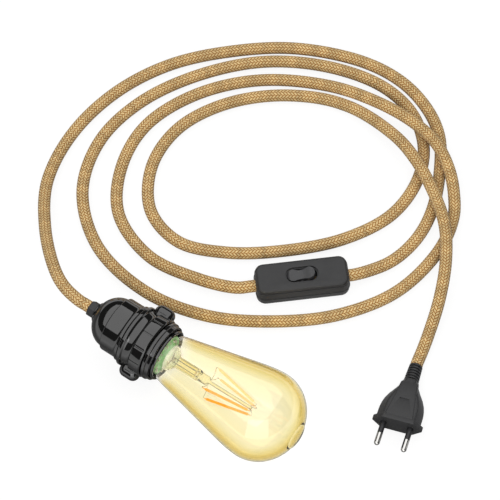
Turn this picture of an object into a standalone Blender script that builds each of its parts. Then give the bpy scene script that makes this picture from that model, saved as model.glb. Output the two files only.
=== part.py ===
"""Plug-in pendant cord: a threaded lamp holder with a filament bulb, a braided cord with a rocker switch
in it, and a flat two-pin plug.

Everything lies on a flat surface at z = 0. The lamp lies on its side with its axis along X, on the bulb's
widest circle, and the origin is on the surface under the middle of the lamp.
"""

import math

import bmesh
import bpy
from mathutils import Matrix, Vector

MM = 0.001
FIT = 0.3 * MM
SMOOTH_ANGLE = math.radians(35.0)

# Lamp holder, measured along the lamp's axis from the mouth, which is at 0, back to the cord grip.
GRIP_RADIUS = 6.0 * MM
GRIP_LENGTH = 5.7 * MM
GRIP_TAIL_LENGTH = 4.0 * MM
GRIP_TAIL_WALL = 0.7 * MM
DOME_HEIGHT = 15.7 * MM
DOME_RADIUS = 18.3 * MM
DOME_WALL = 2.2 * MM
DOME_BOSS_RADIUS = 7.0 * MM
SEAM_GAP = 0.4 * MM
SHOULDER_RADIUS = 19.9 * MM
SEAM_ABOVE_WEB = 5.9 * MM
SPIGOT_LENGTH = 4.0 * MM
SPIGOT_WALL = 1.2 * MM
FLANGE_RADIUS = 21.0 * MM
FLANGE_HEIGHT = 2.0 * MM
THREAD_RADIUS = 18.7 * MM
THREAD_LENGTH = 28.3 * MM
THREAD_RELIEF = 0.8 * MM
MOUTH_RADIUS = 17.2 * MM
MOUTH_BEVEL = 5.2 * MM
WEB_HEIGHT = 1.0 * MM

# Shade ring with two finger lugs, and the plain lock ring below it.
RING_HEIGHT = 18.9 * MM
RING_BAND_RADIUS = 22.4 * MM
RING_BAND_HEIGHT = 2.7 * MM
RING_WAIST_RADIUS = 20.8 * MM
RING_COLLAR_RADIUS = 22.2 * MM
RING_COLLAR_HEIGHT = 9.2 * MM
RING_SEAT_GAP = 0.8 * MM
LUG_RADIUS = 28.5 * MM
LUG_THICKNESS = 11.0 * MM
LUG_LENGTH = 16.5 * MM
LUG_ROUND = 3.0 * MM
LUG_TURN = math.radians(24.0)
NOTCH_COUNT = 12
NOTCH_WIDTH = 1.0 * MM
NOTCH_DEPTH = 0.6 * MM
LOCK_RING_GAP = 0.7 * MM
LOCK_RING_HEIGHT = 5.3 * MM
LOCK_RING_RADIUS = 20.9 * MM
LOCK_RING_STEP = 0.8 * MM

# Screw shell and bulb cap share one round-topped thread.
CAP_PITCH = 3.62 * MM
CAP_THREAD_DEPTH = 1.0 * MM
CAP_RADIUS = 13.1 * MM
CAP_WALL = 0.5 * MM
CAP_RIM = 8.4 * MM
CAP_THREAD_START = 13.2 * MM
CAP_THREAD_END = 29.0 * MM
CAP_END = 31.4 * MM
CAP_END_RADIUS = 9.6 * MM
SHELL_CLEARANCE = 0.45 * MM
SHELL_WALL = 0.4 * MM
INSULATOR_HEIGHT = 2.3 * MM
INSULATOR_TIP_RADIUS = 5.4 * MM
CONTACT_HEIGHT = 1.2 * MM
CONTACT_RADIUS = 4.8 * MM
TONGUE_WIDTH = 6.0 * MM
TONGUE_THICKNESS = 0.5 * MM
TONGUE_PLAY = 0.1 * MM

# Terminal block inside the dome.
BLOCK_HEIGHT = 8.0 * MM
BLOCK_SLOT_WIDTH = 3.0 * MM
TERMINAL_INNER = 4.0 * MM
TERMINAL_LENGTH = 4.8 * MM
TERMINAL_WIDTH = 5.0 * MM
TERMINAL_HEIGHT = 5.6 * MM
TERMINAL_SCREW_RADIUS = 1.7 * MM
TERMINAL_SCREW_HEIGHT = 1.1 * MM
CONDUCTOR_RADIUS = 1.1 * MM
CONDUCTOR_OFFSET = 1.6 * MM

# Bulb.
BULB_RADIUS = 32.0 * MM
BULB_LENGTH = 107.0 * MM
BULB_BELLY = 77.0 * MM
BULB_NECK_RADIUS = 12.2 * MM
BULB_MOUTH_RADIUS = 15.6 * MM
BULB_CONE_START = 12.0 * MM
BULB_CONE_START_RADIUS = 19.3 * MM
BULB_CONE_END = 60.0 * MM
BULB_CONE_END_RADIUS = 29.8 * MM
GLASS_WALL = 0.9 * MM
PIP_RADIUS = 9.5 * MM
PIP_HEIGHT = 0.8 * MM
BOARD_RADIUS = 11.6 * MM
BOARD_THICKNESS = 1.2 * MM
STEM_RIM = -1.5 * MM
STEM_TUBE_RADIUS = 4.1 * MM
STEM_TUBE_START = 9.5 * MM
STEM_WALL = 0.8 * MM
PINCH_START = 25.5 * MM
PINCH_END = 33.5 * MM
PINCH_WIDTH = 7.0 * MM
PINCH_THICKNESS = 3.0 * MM
ROD_RADIUS = 1.15 * MM
ROD_END = 68.8 * MM
FILAMENT_COUNT = 4
FILAMENT_RADIUS = 0.9 * MM
FILAMENT_FOOT = (12.4 * MM, 35.6 * MM)
FILAMENT_HEAD = (4.8 * MM, 69.6 * MM)
FILAMENT_TURN = math.radians(48.5)
WIRE_RADIUS = 0.3 * MM

# Cord: its diameter and the route of its two lengths, chosen from the photograph, in millimetres.
CORD_RADIUS = 4.4 * MM
CORD_IN_GRIP = 4.0 * MM
CORD_IN_SWITCH = 8.0 * MM
LAMP_CORD_ROUTE = [
    (-95, 0, 31.8), (-110, 3.5, 29.8), (-125, 12, 26.2), (-154, 39, 16.2), (-179, 75, 6.6), (-188, 116, 4.4),
    (-183, 161, 4.4), (-165, 202, 4.4), (-135, 237, 4.4), (-99, 265, 4.4), (-54, 283, 4.4), (-22, 285, 4.4),
    (5, 277, 4.4), (25, 263, 4.4), (42, 238, 4.4), (54, 211, 4.4), (58, 190, 4.4), (57, 172, 4.4),
    (52.5, 158.7, 4.6), (45.4, 146.2, 6.2),
]
PLUG_CORD_ROUTE = [
    (-21.4, 79.8, 7.6), (-46.7, 71, 5.4), (-85.7, 67, 4.4), (-122.7, 82, 4.4), (-143.6, 114, 4.4), (-149.3, 152, 4.4),
    (-135, 193, 4.4), (-104, 229, 4.4), (-61, 252, 6.0), (-23, 257, 12.6), (7, 257, 13.8), (29, 252, 13.8),
    (48, 240, 13.2), (61, 227, 9.4), (70, 213, 5.2), (76, 185, 4.4), (70, 142, 4.4), (47, 104, 4.4),
    (13, 74, 4.4), (-26, 52, 4.4), (-71, 43, 4.4), (-119.4, 52.7, 4.4), (-154.6, 82.7, 4.4), (-168.7, 123, 4.4),
    (-163.7, 165.2, 4.4), (-143, 207, 4.4), (-111, 243, 4.4), (-70, 266, 4.4), (-30, 274, 4.4), (0, 267, 4.4),
    (22, 248, 4.4), (33, 222, 4.4), (33, 190, 4.4), (17, 156, 4.4), (-11, 125, 4.4), (-44, 100, 4.4),
    (-76, 88, 4.4), (-106, 97, 4.4), (-126.6, 127, 4.4), (-129.2, 163, 4.4), (-113, 199, 4.4), (-82, 229, 4.4),
    (-43, 246, 4.6), (0, 242, 11.2), (24, 233, 13.8), (48, 219, 13.8), (70, 201, 13.8), (87, 177, 13.6),
    (99.6, 149.8, 11.3), (107.4, 124.5, 6.7), (110.2, 113.2, 4.8),
]
LAMP_CORD_POINT_COUNT = 44
PLUG_CORD_POINT_COUNT = 80
CORD_SIDES_SETTING = 2

# Switch: its own X runs along its length, towards the end that the lamp's cord enters.
SWITCH_PLACE = (12.0 * MM, 111.2 * MM, 0.0)
SWITCH_TURN = math.radians(42.3)
SWITCH_LENGTH = 64.6 * MM
SWITCH_WIDTH = 24.4 * MM
SWITCH_HEIGHT = 15.5 * MM
SWITCH_CORNER = 6.5 * MM
SWITCH_WALL = 1.8 * MM
SWITCH_BASE_HEIGHT = 5.0 * MM
SWITCH_TOP_ROUND = 2.8 * MM
SWITCH_CORD_HEIGHT = 7.7 * MM
SWITCH_SCREW_X = 15.0 * MM
SWITCH_SCREW_Y = 8.0 * MM
SCREW_SHANK_RADIUS = 1.2 * MM
SCREW_HEAD_RADIUS = 2.4 * MM
SCREW_HEAD_HEIGHT = 1.6 * MM
SCREW_LENGTH = 9.0 * MM
SCREW_SINK = 0.6 * MM
ROCKER_LENGTH = 19.4 * MM
ROCKER_WIDTH = 9.0 * MM
ROCKER_WAIST = 6.8 * MM
ROCKER_AXIS_HEIGHT = 11.8 * MM
ROCKER_END_HEIGHT = 4.6 * MM
ROCKER_MIDDLE_HEIGHT = 3.2 * MM
ROCKER_DEPTH = 1.0 * MM
ROCKER_TILT = math.radians(10.0)
ROCKER_CLEARANCE = 0.9 * MM
ROCKER_SIDE_CLEARANCE = 0.4 * MM
ROCKER_PIN_RADIUS = 1.1 * MM
RECESS_BORDER = 1.2 * MM
RECESS_DEPTH = 1.2 * MM
BEARING_THICKNESS = 2.0 * MM
CONTACT_BAR_LENGTH = 14.0 * MM
CONTACT_BAR_THICKNESS = 0.5 * MM
STRIP_WIDTH = 4.4 * MM
STRIP_THICKNESS = 0.8 * MM
STRIP_OUTER_END = 22.0 * MM
CLAMP_LENGTH = 3.0 * MM
CLAMP_WIDTH = 12.0 * MM
CLAMP_THICKNESS = 1.0 * MM

# Plug: its own X runs towards the pins, and its origin is the middle of the pin face. The plug leans back
# on the end of its strain relief, where the cord's own spring holds the pin face up.
PLUG_PLACE = (129.2 * MM, 53.6 * MM, 12.0 * MM)
PLUG_TURN = math.radians(-71.5)
PLUG_RISE = math.radians(8.0)
PLUG_WIDTH = 35.3 * MM
PLUG_THICKNESS = 13.7 * MM
PLUG_FLAT = 21.5 * MM
PLUG_BODY_LENGTH = 37.0 * MM
PLUG_BODY_WIDTH = 31.7 * MM
PLUG_BODY_THICKNESS = 13.0 * MM
PLUG_FLANGE_LENGTH = 4.0 * MM
PLUG_NECK_WIDTH = 12.0 * MM
PLUG_NECK_THICKNESS = 11.0 * MM
RELIEF_LENGTH = 13.6 * MM
RELIEF_ROOT_RADIUS = 5.2 * MM
RELIEF_TIP_RADIUS = 4.6 * MM
RELIEF_RIBS = 6
RELIEF_GROOVE = 0.7 * MM
PIN_SPACING = 18.6 * MM
PIN_RADIUS = 2.0 * MM
PIN_LENGTH = 19.0 * MM
PIN_CORE_RADIUS = 1.1 * MM
SLEEVE_LENGTH = 9.4 * MM
SLEEVE_RADIUS = 1.95 * MM
PIN_IN_BODY = 7.5 * MM
PANEL_START = 4.5 * MM
PANEL_LENGTH = 12.0 * MM
PANEL_HEIGHT = 0.5 * MM
GRIP_LINE_LENGTH = 5.2 * MM
GRIP_LINE_WIDTH = 0.8 * MM

# Stations along the lamp's axis that follow from the sizes above.
WEB_DEPTH = CAP_END + INSULATOR_HEIGHT + CONTACT_HEIGHT + 3 * FIT + TONGUE_THICKNESS + TONGUE_PLAY
SEAM = -(WEB_DEPTH + WEB_HEIGHT + SEAM_ABOVE_WEB)
DOME_TOP = SEAM - DOME_HEIGHT
HOLDER_LENGTH = GRIP_LENGTH - DOME_TOP
MOUTH_X = (HOLDER_LENGTH - BULB_LENGTH) / 2
SHELL_INNER = CAP_RADIUS + SHELL_CLEARANCE
SKIRT_BORE = SHELL_INNER + SHELL_WALL + FIT
GRIP_BORE = CORD_RADIUS + FIT


def material(name, colour, roughness, metallic=0.0, alpha=1.0):
    """A plain finish from an sRGB hex colour."""
    made = bpy.data.materials.get(name) or bpy.data.materials.new(name)
    made.use_nodes = True
    shader = made.node_tree.nodes["Principled BSDF"]
    parts = [int(colour[i : i + 2], 16) / 255 for i in (0, 2, 4)]
    linear = [c / 12.92 if c <= 0.04045 else ((c + 0.055) / 1.055) ** 2.4 for c in parts]
    shader.inputs["Base Color"].default_value = (*linear, 1.0)
    shader.inputs["Roughness"].default_value = roughness
    shader.inputs["Metallic"].default_value = metallic
    shader.inputs["Alpha"].default_value = alpha
    return made


PHENOLIC = material("black_phenolic", "161413", 0.12)
CERAMIC = material("white_steatite", "E8E4DA", 0.35)
BRASS = material("brass", "C9A24E", 0.3, 1.0)
PLATED = material("nickel_plate", "C8C6C2", 0.2, 1.0)
GLASS = material("amber_glass", "F0D98A", 0.03, 0.0, 0.35)
CLEAR = material("clear_glass", "EEF0EA", 0.03, 0.0, 0.5)
BOARD_GREEN = material("green_board", "4E9A60", 0.4)
PHOSPHOR = material("filament_phosphor", "F28A1E", 0.5)
BLACK_GLASS = material("black_glass", "101014", 0.1)
TEXTILE = material("textile_braid", "C39A5E", 0.9)
CASE = material("matte_case", "33343A", 0.55)
SLEEVE = material("sleeve_plastic", "1B1C1F", 0.45)
INSULATION = material("wire_insulation", "7C5A3A", 0.5)


def empty(name, location, turn=(0.0, 0.0, 0.0), parent=None):
    """A frame that pieces are placed in."""
    frame = bpy.data.objects.new(name, None)
    bpy.context.scene.collection.objects.link(frame)
    frame.location = location
    frame.rotation_euler = turn
    frame.parent = parent
    return frame


def piece(name, bm, finish, parent=None, place=(0.0, 0.0, 0.0), turn=(0.0, 0.0, 0.0)):
    """Turns a bmesh into a named object with its finish, placed in its parent's frame."""
    bmesh.ops.recalc_face_normals(bm, faces=bm.faces)
    mesh = bpy.data.meshes.new(name)
    bm.to_mesh(mesh)
    bm.free()
    mesh.materials.append(finish)
    mesh.shade_smooth()
    mesh.set_sharp_from_angle(angle=SMOOTH_ANGLE)
    made = bpy.data.objects.new(name, mesh)
    bpy.context.scene.collection.objects.link(made)
    made.parent = parent
    made.location = place
    made.rotation_euler = turn
    return made


def combine(target, tool, operation):
    """Joins or cuts a piece with a tool shape, which the build leaves out."""
    tool.hide_render = True
    tool.display_type = "WIRE"
    step = target.modifiers.new(tool.name, "BOOLEAN")
    step.operation = operation
    step.solver = "EXACT"
    step.object = tool


def turned(profile, steps=32):
    """A bmesh turned about Z from (radius, height) points. A profile that starts and ends on the axis
    makes a full solid, and any other profile is closed on itself and makes a ring."""
    bm = bmesh.new()
    points = [bm.verts.new((radius, 0.0, height)) for radius, height in profile]
    edges = [bm.edges.new(pair) for pair in zip(points, points[1:])]
    if profile[0][0] > 0 or profile[-1][0] > 0:
        edges.append(bm.edges.new((points[-1], points[0])))
    bmesh.ops.spin(
        bm, geom=points + edges, cent=(0, 0, 0), axis=(0, 0, 1), angle=math.tau, steps=steps, use_merge=True
    )
    bmesh.ops.remove_doubles(bm, verts=bm.verts, dist=0.001 * MM)
    return bm


def curve_between(start, end, start_slope, end_slope, count):
    """Points (radius, height) on a smooth curve whose radius has the given slopes at its two ends."""
    (r0, h0), (r1, h1) = start, end
    span = h1 - h0
    points = []
    for k in range(count + 1):
        t = k / count
        radius = (
            (2 * t**3 - 3 * t**2 + 1) * r0
            + (t**3 - 2 * t**2 + t) * span * start_slope
            + (3 * t**2 - 2 * t**3) * r1
            + (t**3 - t**2) * span * end_slope
        )
        points.append((radius, h0 + t * span))
    return points


def arc(centre, size, first, last, count):
    """Points on an elliptical arc, with its angles in degrees."""
    steps = [math.radians(first + (last - first) * k / count) for k in range(count + 1)]
    return [(centre[0] + size[0] * math.cos(a), centre[1] + size[1] * math.sin(a)) for a in steps]


def stadium(length, width, count=6):
    """The outline of a slot with round ends, length along X."""
    radius = width / 2
    reach = length / 2 - radius
    right = arc((reach, 0.0), (radius, radius), -90, 90, count)
    left = arc((-reach, 0.0), (radius, radius), 90, 270, count)
    return right + left


def waisted(length, width, waist, count=8):
    """The outline of a slot with round ends that is drawn in at its middle, length along X."""
    radius = width / 2
    reach = length / 2 - radius
    outline = []
    for side in (1, -1):
        outline += arc((side * reach, 0.0), (radius, radius), -90 * side, 90 * side if side > 0 else 270, count)
        for k in range(1, 8):
            x = side * reach * (1 - k / 4)
            outline.append((x, side * (waist + (width - waist) * (x / reach) ** 2) / 2))
    return outline


def rounded_rectangle(length, width, corner, count=4):
    """The outline of a rectangle with round corners."""
    points = []
    for k, (sx, sy) in enumerate(((1, -1), (1, 1), (-1, 1), (-1, -1))):
        centre = (sx * (length / 2 - corner), sy * (width / 2 - corner))
        points += arc(centre, (corner, corner), 90 * k - 90, 90 * k, count)
    return points


def lofted(rings):
    """A solid through rings of points that all have the same count, closed by a face at each end."""
    bm = bmesh.new()
    loops = [[bm.verts.new(point) for point in ring] for ring in rings]
    for below, above in zip(loops, loops[1:]):
        for k in range(len(below)):
            following = (k + 1) % len(below)
            bm.faces.new((below[k], below[following], above[following], above[k]))
    bm.faces.new(loops[0])
    bm.faces.new(loops[-1])
    return bm


def prism(outline, low, high):
    """An outline in the XY plane, extruded from one height to another."""
    return lofted([[(x, y, low) for x, y in outline], [(x, y, high) for x, y in outline]])


def slab(outline, half_width):
    """An outline in the XZ plane, extruded to both sides along Y."""
    return lofted([[(x, -half_width, z) for x, z in outline], [(x, half_width, z) for x, z in outline]])


def cylinder(radius, low, high, steps=16):
    """A plain round bar along Z."""
    return turned([(0.0, low), (radius, low), (radius, high), (0.0, high)], steps)


def box(low, high):
    """A block between two corners."""
    outline = [(low[0], low[1]), (high[0], low[1]), (high[0], high[1]), (low[0], high[1])]
    return prism(outline, low[2], high[2])


def joined(*parts):
    """One bmesh that holds several separate shapes, for a tool that cuts them all at once."""
    whole = bmesh.new()
    for part in parts:
        carrier = bpy.data.meshes.new("carrier")
        bmesh.ops.recalc_face_normals(part, faces=part.faces)
        part.to_mesh(carrier)
        part.free()
        whole.from_mesh(carrier)
        bpy.data.meshes.remove(carrier)
    return whole


def moved(bm, offset=(0.0, 0.0, 0.0), turn=0.0, axis="Z"):
    """The same bmesh, turned about an axis through the origin and then shifted."""
    matrix = Matrix.Translation(offset) @ Matrix.Rotation(turn, 4, axis)
    bmesh.ops.transform(bm, matrix=matrix, verts=bm.verts)
    return bm


def smooth_route(points, count):
    """Points on a centripetal curve through the given points: evenly spaced, but for the first and the
    last stretch, which are straight."""
    way = [Vector(point) for point in points]
    fine = []
    for a, b, c, d in zip(way, way[1:], way[2:], way[3:]):
        t1 = (b - a).length ** 0.5
        t2 = t1 + (c - b).length ** 0.5
        t3 = t2 + (d - c).length ** 0.5
        for k in range(20):
            t = t1 + (t2 - t1) * k / 20
            ab = a.lerp(b, t / t1)
            bc = b.lerp(c, (t - t1) / (t2 - t1))
            cd = c.lerp(d, (t - t2) / (t3 - t2))
            abc = ab.lerp(bc, t / t2)
            bcd = bc.lerp(cd, (t - t1) / (t3 - t1))
            fine.append(abc.lerp(bcd, (t - t1) / (t2 - t1)))
    fine.append(way[-2])
    distance = [0.0]
    for before, after in zip(fine, fine[1:]):
        distance.append(distance[-1] + (after - before).length)
    even = [way[0]]
    index = 0
    for k in range(count - 2):
        wanted = distance[-1] * k / (count - 3)
        while index < len(fine) - 2 and distance[index + 1] < wanted:
            index += 1
        share = (wanted - distance[index]) / (distance[index + 1] - distance[index])
        even.append(fine[index].lerp(fine[index + 1], share))
    even.append(way[-1])
    return even


def tube(name, points, radius, finish, parent=None, sides=2, floor=False):
    """A round tube along a row of points, closed at both ends."""
    curve = bpy.data.curves.new(name, "CURVE")
    curve.dimensions = "3D"
    curve.bevel_depth = radius
    curve.bevel_resolution = sides
    curve.use_fill_caps = True
    spline = curve.splines.new("POLY")
    spline.points.add(len(points) - 1)
    for control, point in zip(spline.points, points):
        height = max(point[2], radius) if floor else point[2]
        control.co = (point[0], point[1], height, 1.0)
    curve.materials.append(finish)
    made = bpy.data.objects.new(name, curve)
    bpy.context.scene.collection.objects.link(made)
    made.parent = parent
    return made


def wave_thread(bm, first, last, depth, surface):
    """Rolls a round thread into the rows of one surface of a turned shape, fading at both ends."""
    for vert in bm.verts:
        radius = math.hypot(vert.co.x, vert.co.y)
        if not first < vert.co.z < last or abs(radius - surface) > 0.1 * MM:
            continue
        fade = min(1.0, (vert.co.z - first) / CAP_PITCH * 2, (last - vert.co.z) / CAP_PITCH * 2)
        phase = math.tau * vert.co.z / CAP_PITCH - math.atan2(vert.co.y, vert.co.x)
        change = -depth * fade * (0.5 - 0.5 * math.cos(phase))
        vert.co.x *= (radius + change) / radius
        vert.co.y *= (radius + change) / radius


def thread_rows(radius, first, last):
    """Profile rows close enough together to carry the round thread."""
    rows = round((last - first) / CAP_PITCH * 4)
    return [(radius, first + (last - first) * k / rows) for k in range(rows + 1)]


def glass_outline():
    """The bulb's outer profile, from the neck inside the cap to the root of the mound at its end."""
    neck_end = -CAP_RIM - 4.0 * MM
    points = [(BULB_NECK_RADIUS, neck_end)]
    mouth = (BULB_MOUTH_RADIUS, 0.0)
    cone_start = (BULB_CONE_START_RADIUS, BULB_CONE_START)
    cone_end = (BULB_CONE_END_RADIUS, BULB_CONE_END)
    cone_slope = (cone_end[0] - cone_start[0]) / (cone_end[1] - cone_start[1])
    points += curve_between((BULB_NECK_RADIUS, -CAP_RIM - 0.2 * MM), mouth, 0.05, 0.40, 5)
    points += curve_between(mouth, cone_start, 0.40, cone_slope, 3)[1:]
    points += curve_between(cone_start, cone_end, cone_slope, cone_slope, 2)[1:]
    points += curve_between(cone_end, (BULB_RADIUS, BULB_BELLY), cone_slope * 0.9, 0.0, 3)[1:]
    end_height = BULB_LENGTH - PIP_HEIGHT - BULB_BELLY
    last_angle = math.degrees(math.acos(PIP_RADIUS / BULB_RADIUS))
    points += arc((0.0, BULB_BELLY), (BULB_RADIUS, end_height), 0, last_angle, 9)[1:]
    return points


def set_in(profile, distance):
    """The same profile moved inwards by a wall's thickness, square to the surface."""
    inner = []
    for k, (radius, height) in enumerate(profile):
        before = profile[max(k - 1, 0)]
        after = profile[min(k + 1, len(profile) - 1)]
        along = Vector((after[0] - before[0], after[1] - before[1])).normalized()
        inner.append((radius - distance * along.y, height + distance * along.x))
    return inner


def glass_radius(height):
    """The bulb's outer radius at a height."""
    outline = glass_outline()
    for (r0, h0), (r1, h1) in zip(outline, outline[1:]):
        if h0 <= height <= h1:
            return r0 + (r1 - r0) * (height - h0) / (h1 - h0)
    return BULB_RADIUS


def make_cord_grip(lamp):
    """Six-sided grip that closes on the cord, with a round tail through the top of the dome."""
    end = DOME_TOP - GRIP_LENGTH
    chamfer = 0.5 * MM
    nut = [
        (0.0, end), (GRIP_RADIUS - chamfer, end), (GRIP_RADIUS, end + chamfer),
        (GRIP_RADIUS, DOME_TOP - FIT), (0.0, DOME_TOP - FIT),
    ]
    grip = piece("cord_grip", turned(nut, 6), CASE, lamp)
    tail_end = DOME_TOP + GRIP_TAIL_LENGTH
    tail = cylinder(GRIP_BORE + GRIP_TAIL_WALL, DOME_TOP - 1.0 * MM, tail_end, 24)
    combine(grip, piece("grip_tail_tool", tail, CASE, lamp), "UNION")
    bore = cylinder(GRIP_BORE, end - 1.0 * MM, tail_end + 1.0 * MM, 24)
    combine(grip, piece("grip_bore_tool", bore, CASE, lamp), "DIFFERENCE")


def make_dome(lamp):
    """Domed upper shell, screwed over the spigot of the skirt."""
    hole = GRIP_BORE + GRIP_TAIL_WALL + FIT
    start = math.degrees(math.acos(DOME_BOSS_RADIUS * 1.04 / DOME_RADIUS))
    outer = arc((0.0, SEAM), (DOME_RADIUS, -DOME_HEIGHT), start, 0, 9)
    inside_radius = DOME_RADIUS - DOME_WALL
    inside_height = DOME_HEIGHT - DOME_WALL
    inner_start = math.degrees(math.acos((hole + 0.6 * MM) / inside_radius))
    inner = arc((0.0, SEAM), (inside_radius, -inside_height), 0, inner_start, 7)
    boss = [(hole, SEAM - inside_height), (hole, DOME_TOP), (DOME_BOSS_RADIUS, DOME_TOP)]
    piece("holder_dome", turned(boss + outer + inner, 36), PHENOLIC, lamp)


def make_skirt(lamp):
    """Lower shell: plain shoulder, flange, and the long outside thread that carries the two rings."""
    spigot = SKIRT_BORE - 0.7 * MM + SPIGOT_WALL
    upper_bore = spigot - SPIGOT_WALL
    edge = 0.5 * MM
    shoulder_top = SEAM + SEAM_GAP
    flange_top = -THREAD_LENGTH - FLANGE_HEIGHT
    root = THREAD_RADIUS - THREAD_RELIEF
    profile = [
        (spigot, SEAM - SPIGOT_LENGTH),
        (spigot, shoulder_top),
        (SHOULDER_RADIUS - edge, shoulder_top),
        (SHOULDER_RADIUS, shoulder_top + edge),
        (SHOULDER_RADIUS, flange_top - 2.4 * MM),
        (SHOULDER_RADIUS + 0.15 * MM, flange_top - 1.2 * MM),
        (SHOULDER_RADIUS + 0.55 * MM, flange_top - 0.3 * MM),
        (FLANGE_RADIUS, flange_top),
        (FLANGE_RADIUS, -THREAD_LENGTH),
        (root, -THREAD_LENGTH),
        (root, -THREAD_LENGTH + THREAD_RELIEF),
        (THREAD_RADIUS, -THREAD_LENGTH + 2 * THREAD_RELIEF),
        (THREAD_RADIUS, -0.7 * MM),
        (THREAD_RADIUS - 0.7 * MM, 0.0),
        (MOUTH_RADIUS, 0.0),
        (SKIRT_BORE + 0.9 * MM, -MOUTH_BEVEL),
        (SKIRT_BORE, -MOUTH_BEVEL - 1.8 * MM),
        (SKIRT_BORE, -WEB_DEPTH),
        (upper_bore - 1.6 * MM, -WEB_DEPTH),
        (upper_bore - 1.6 * MM, -WEB_DEPTH - WEB_HEIGHT),
        (upper_bore, -WEB_DEPTH - WEB_HEIGHT),
        (upper_bore, SEAM - SPIGOT_LENGTH),
    ]
    piece("holder_skirt", turned(profile, 36), PHENOLIC, lamp)
    return upper_bore


def make_shade_ring(lamp):
    """Deep ring nut with a rim band, a waist, a notched collar and two round finger lugs."""
    bore = THREAD_RADIUS + FIT
    top = -THREAD_LENGTH + RING_SEAT_GAP
    low = top + RING_HEIGHT
    collar = low - RING_COLLAR_HEIGHT
    band = top + RING_BAND_HEIGHT
    edge = 0.4 * MM
    profile = [
        (bore, top),
        (RING_BAND_RADIUS - edge, top),
        (RING_BAND_RADIUS, top + edge),
        (RING_BAND_RADIUS, band - edge),
        (RING_BAND_RADIUS - edge, band),
        (RING_WAIST_RADIUS, band + 1.0 * MM),
        (RING_WAIST_RADIUS, collar - 0.6 * MM),
        (RING_COLLAR_RADIUS - edge, collar),
        (RING_COLLAR_RADIUS, collar + edge),
        (RING_COLLAR_RADIUS, low - 1.2 * MM),
        (RING_COLLAR_RADIUS - 0.8 * MM, low - 0.3 * MM),
        (RING_COLLAR_RADIUS - 1.6 * MM, low),
        (bore, low),
    ]
    turn = (0.0, 0.0, LUG_TURN)
    ring = piece("shade_ring", turned(profile, 48), PHENOLIC, lamp, turn=turn)
    inner = bore + 1.0 * MM
    middle = top + RING_HEIGHT / 2
    half = LUG_THICKNESS / 2
    outlines = []
    for degrees in (90, 60, 30, 0):
        shrink = LUG_ROUND * (1 - math.cos(math.radians(degrees)))
        size = (LUG_RADIUS - inner - shrink, LUG_LENGTH / 2 - shrink)
        depth = half - LUG_ROUND * (1 - math.sin(math.radians(degrees)))
        outlines.append((depth, arc((inner, middle), size, -90, 90, 10)))
    lugs = []
    for side in (1, -1):
        near = [[(-depth, side * r, z) for r, z in outline] for depth, outline in outlines]
        far = [[(depth, side * r, z) for r, z in outline] for depth, outline in outlines[::-1]]
        lugs.append(lofted(near + far))
    combine(ring, piece("lug_tool", joined(*lugs), PHENOLIC, lamp, turn=turn), "UNION")
    notches = []
    for k in range(NOTCH_COUNT):
        reach = RING_COLLAR_RADIUS + 1.0 * MM
        low_corner = (-NOTCH_WIDTH / 2, RING_COLLAR_RADIUS - NOTCH_DEPTH, collar - 1.0 * MM)
        notch = box(low_corner, (NOTCH_WIDTH / 2, reach, low + 1.0 * MM))
        notches.append(moved(notch, turn=math.tau * (k + 0.5) / NOTCH_COUNT))
    combine(ring, piece("notch_tool", joined(*notches), PHENOLIC, lamp, turn=turn), "DIFFERENCE")
    return low


def make_lock_ring(lamp, start):
    """Plain stepped ring nut that locks a shade against the ring above it."""
    top = start + LOCK_RING_GAP
    low = top + LOCK_RING_HEIGHT
    step = top + LOCK_RING_HEIGHT * 0.45
    bore = THREAD_RADIUS + FIT
    edge = 0.3 * MM
    profile = [
        (bore, top),
        (LOCK_RING_RADIUS - edge, top),
        (LOCK_RING_RADIUS, top + edge),
        (LOCK_RING_RADIUS, step - edge),
        (LOCK_RING_RADIUS - LOCK_RING_STEP, step),
        (LOCK_RING_RADIUS - LOCK_RING_STEP, low - edge),
        (LOCK_RING_RADIUS - LOCK_RING_STEP - edge, low),
        (bore, low),
    ]
    piece("lock_ring", turned(profile, 40), PHENOLIC, lamp)


def make_screw_shell(lamp):
    """Rolled brass sleeve that takes the bulb's cap, in the bore of the skirt."""
    outer = SHELL_INNER + SHELL_WALL
    low = -WEB_DEPTH + FIT
    high = -MOUTH_BEVEL - 2.6 * MM
    first = -CAP_THREAD_END
    last = -CAP_THREAD_START
    inner = [(SHELL_INNER, high)] + thread_rows(SHELL_INNER, first, last)[::-1] + [(SHELL_INNER, low)]
    bm = turned([(outer, low), (outer, high)] + inner, 28)
    wave_thread(bm, first, last, CAP_THREAD_DEPTH, SHELL_INNER)
    piece("screw_shell", bm, BRASS, lamp)


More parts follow.
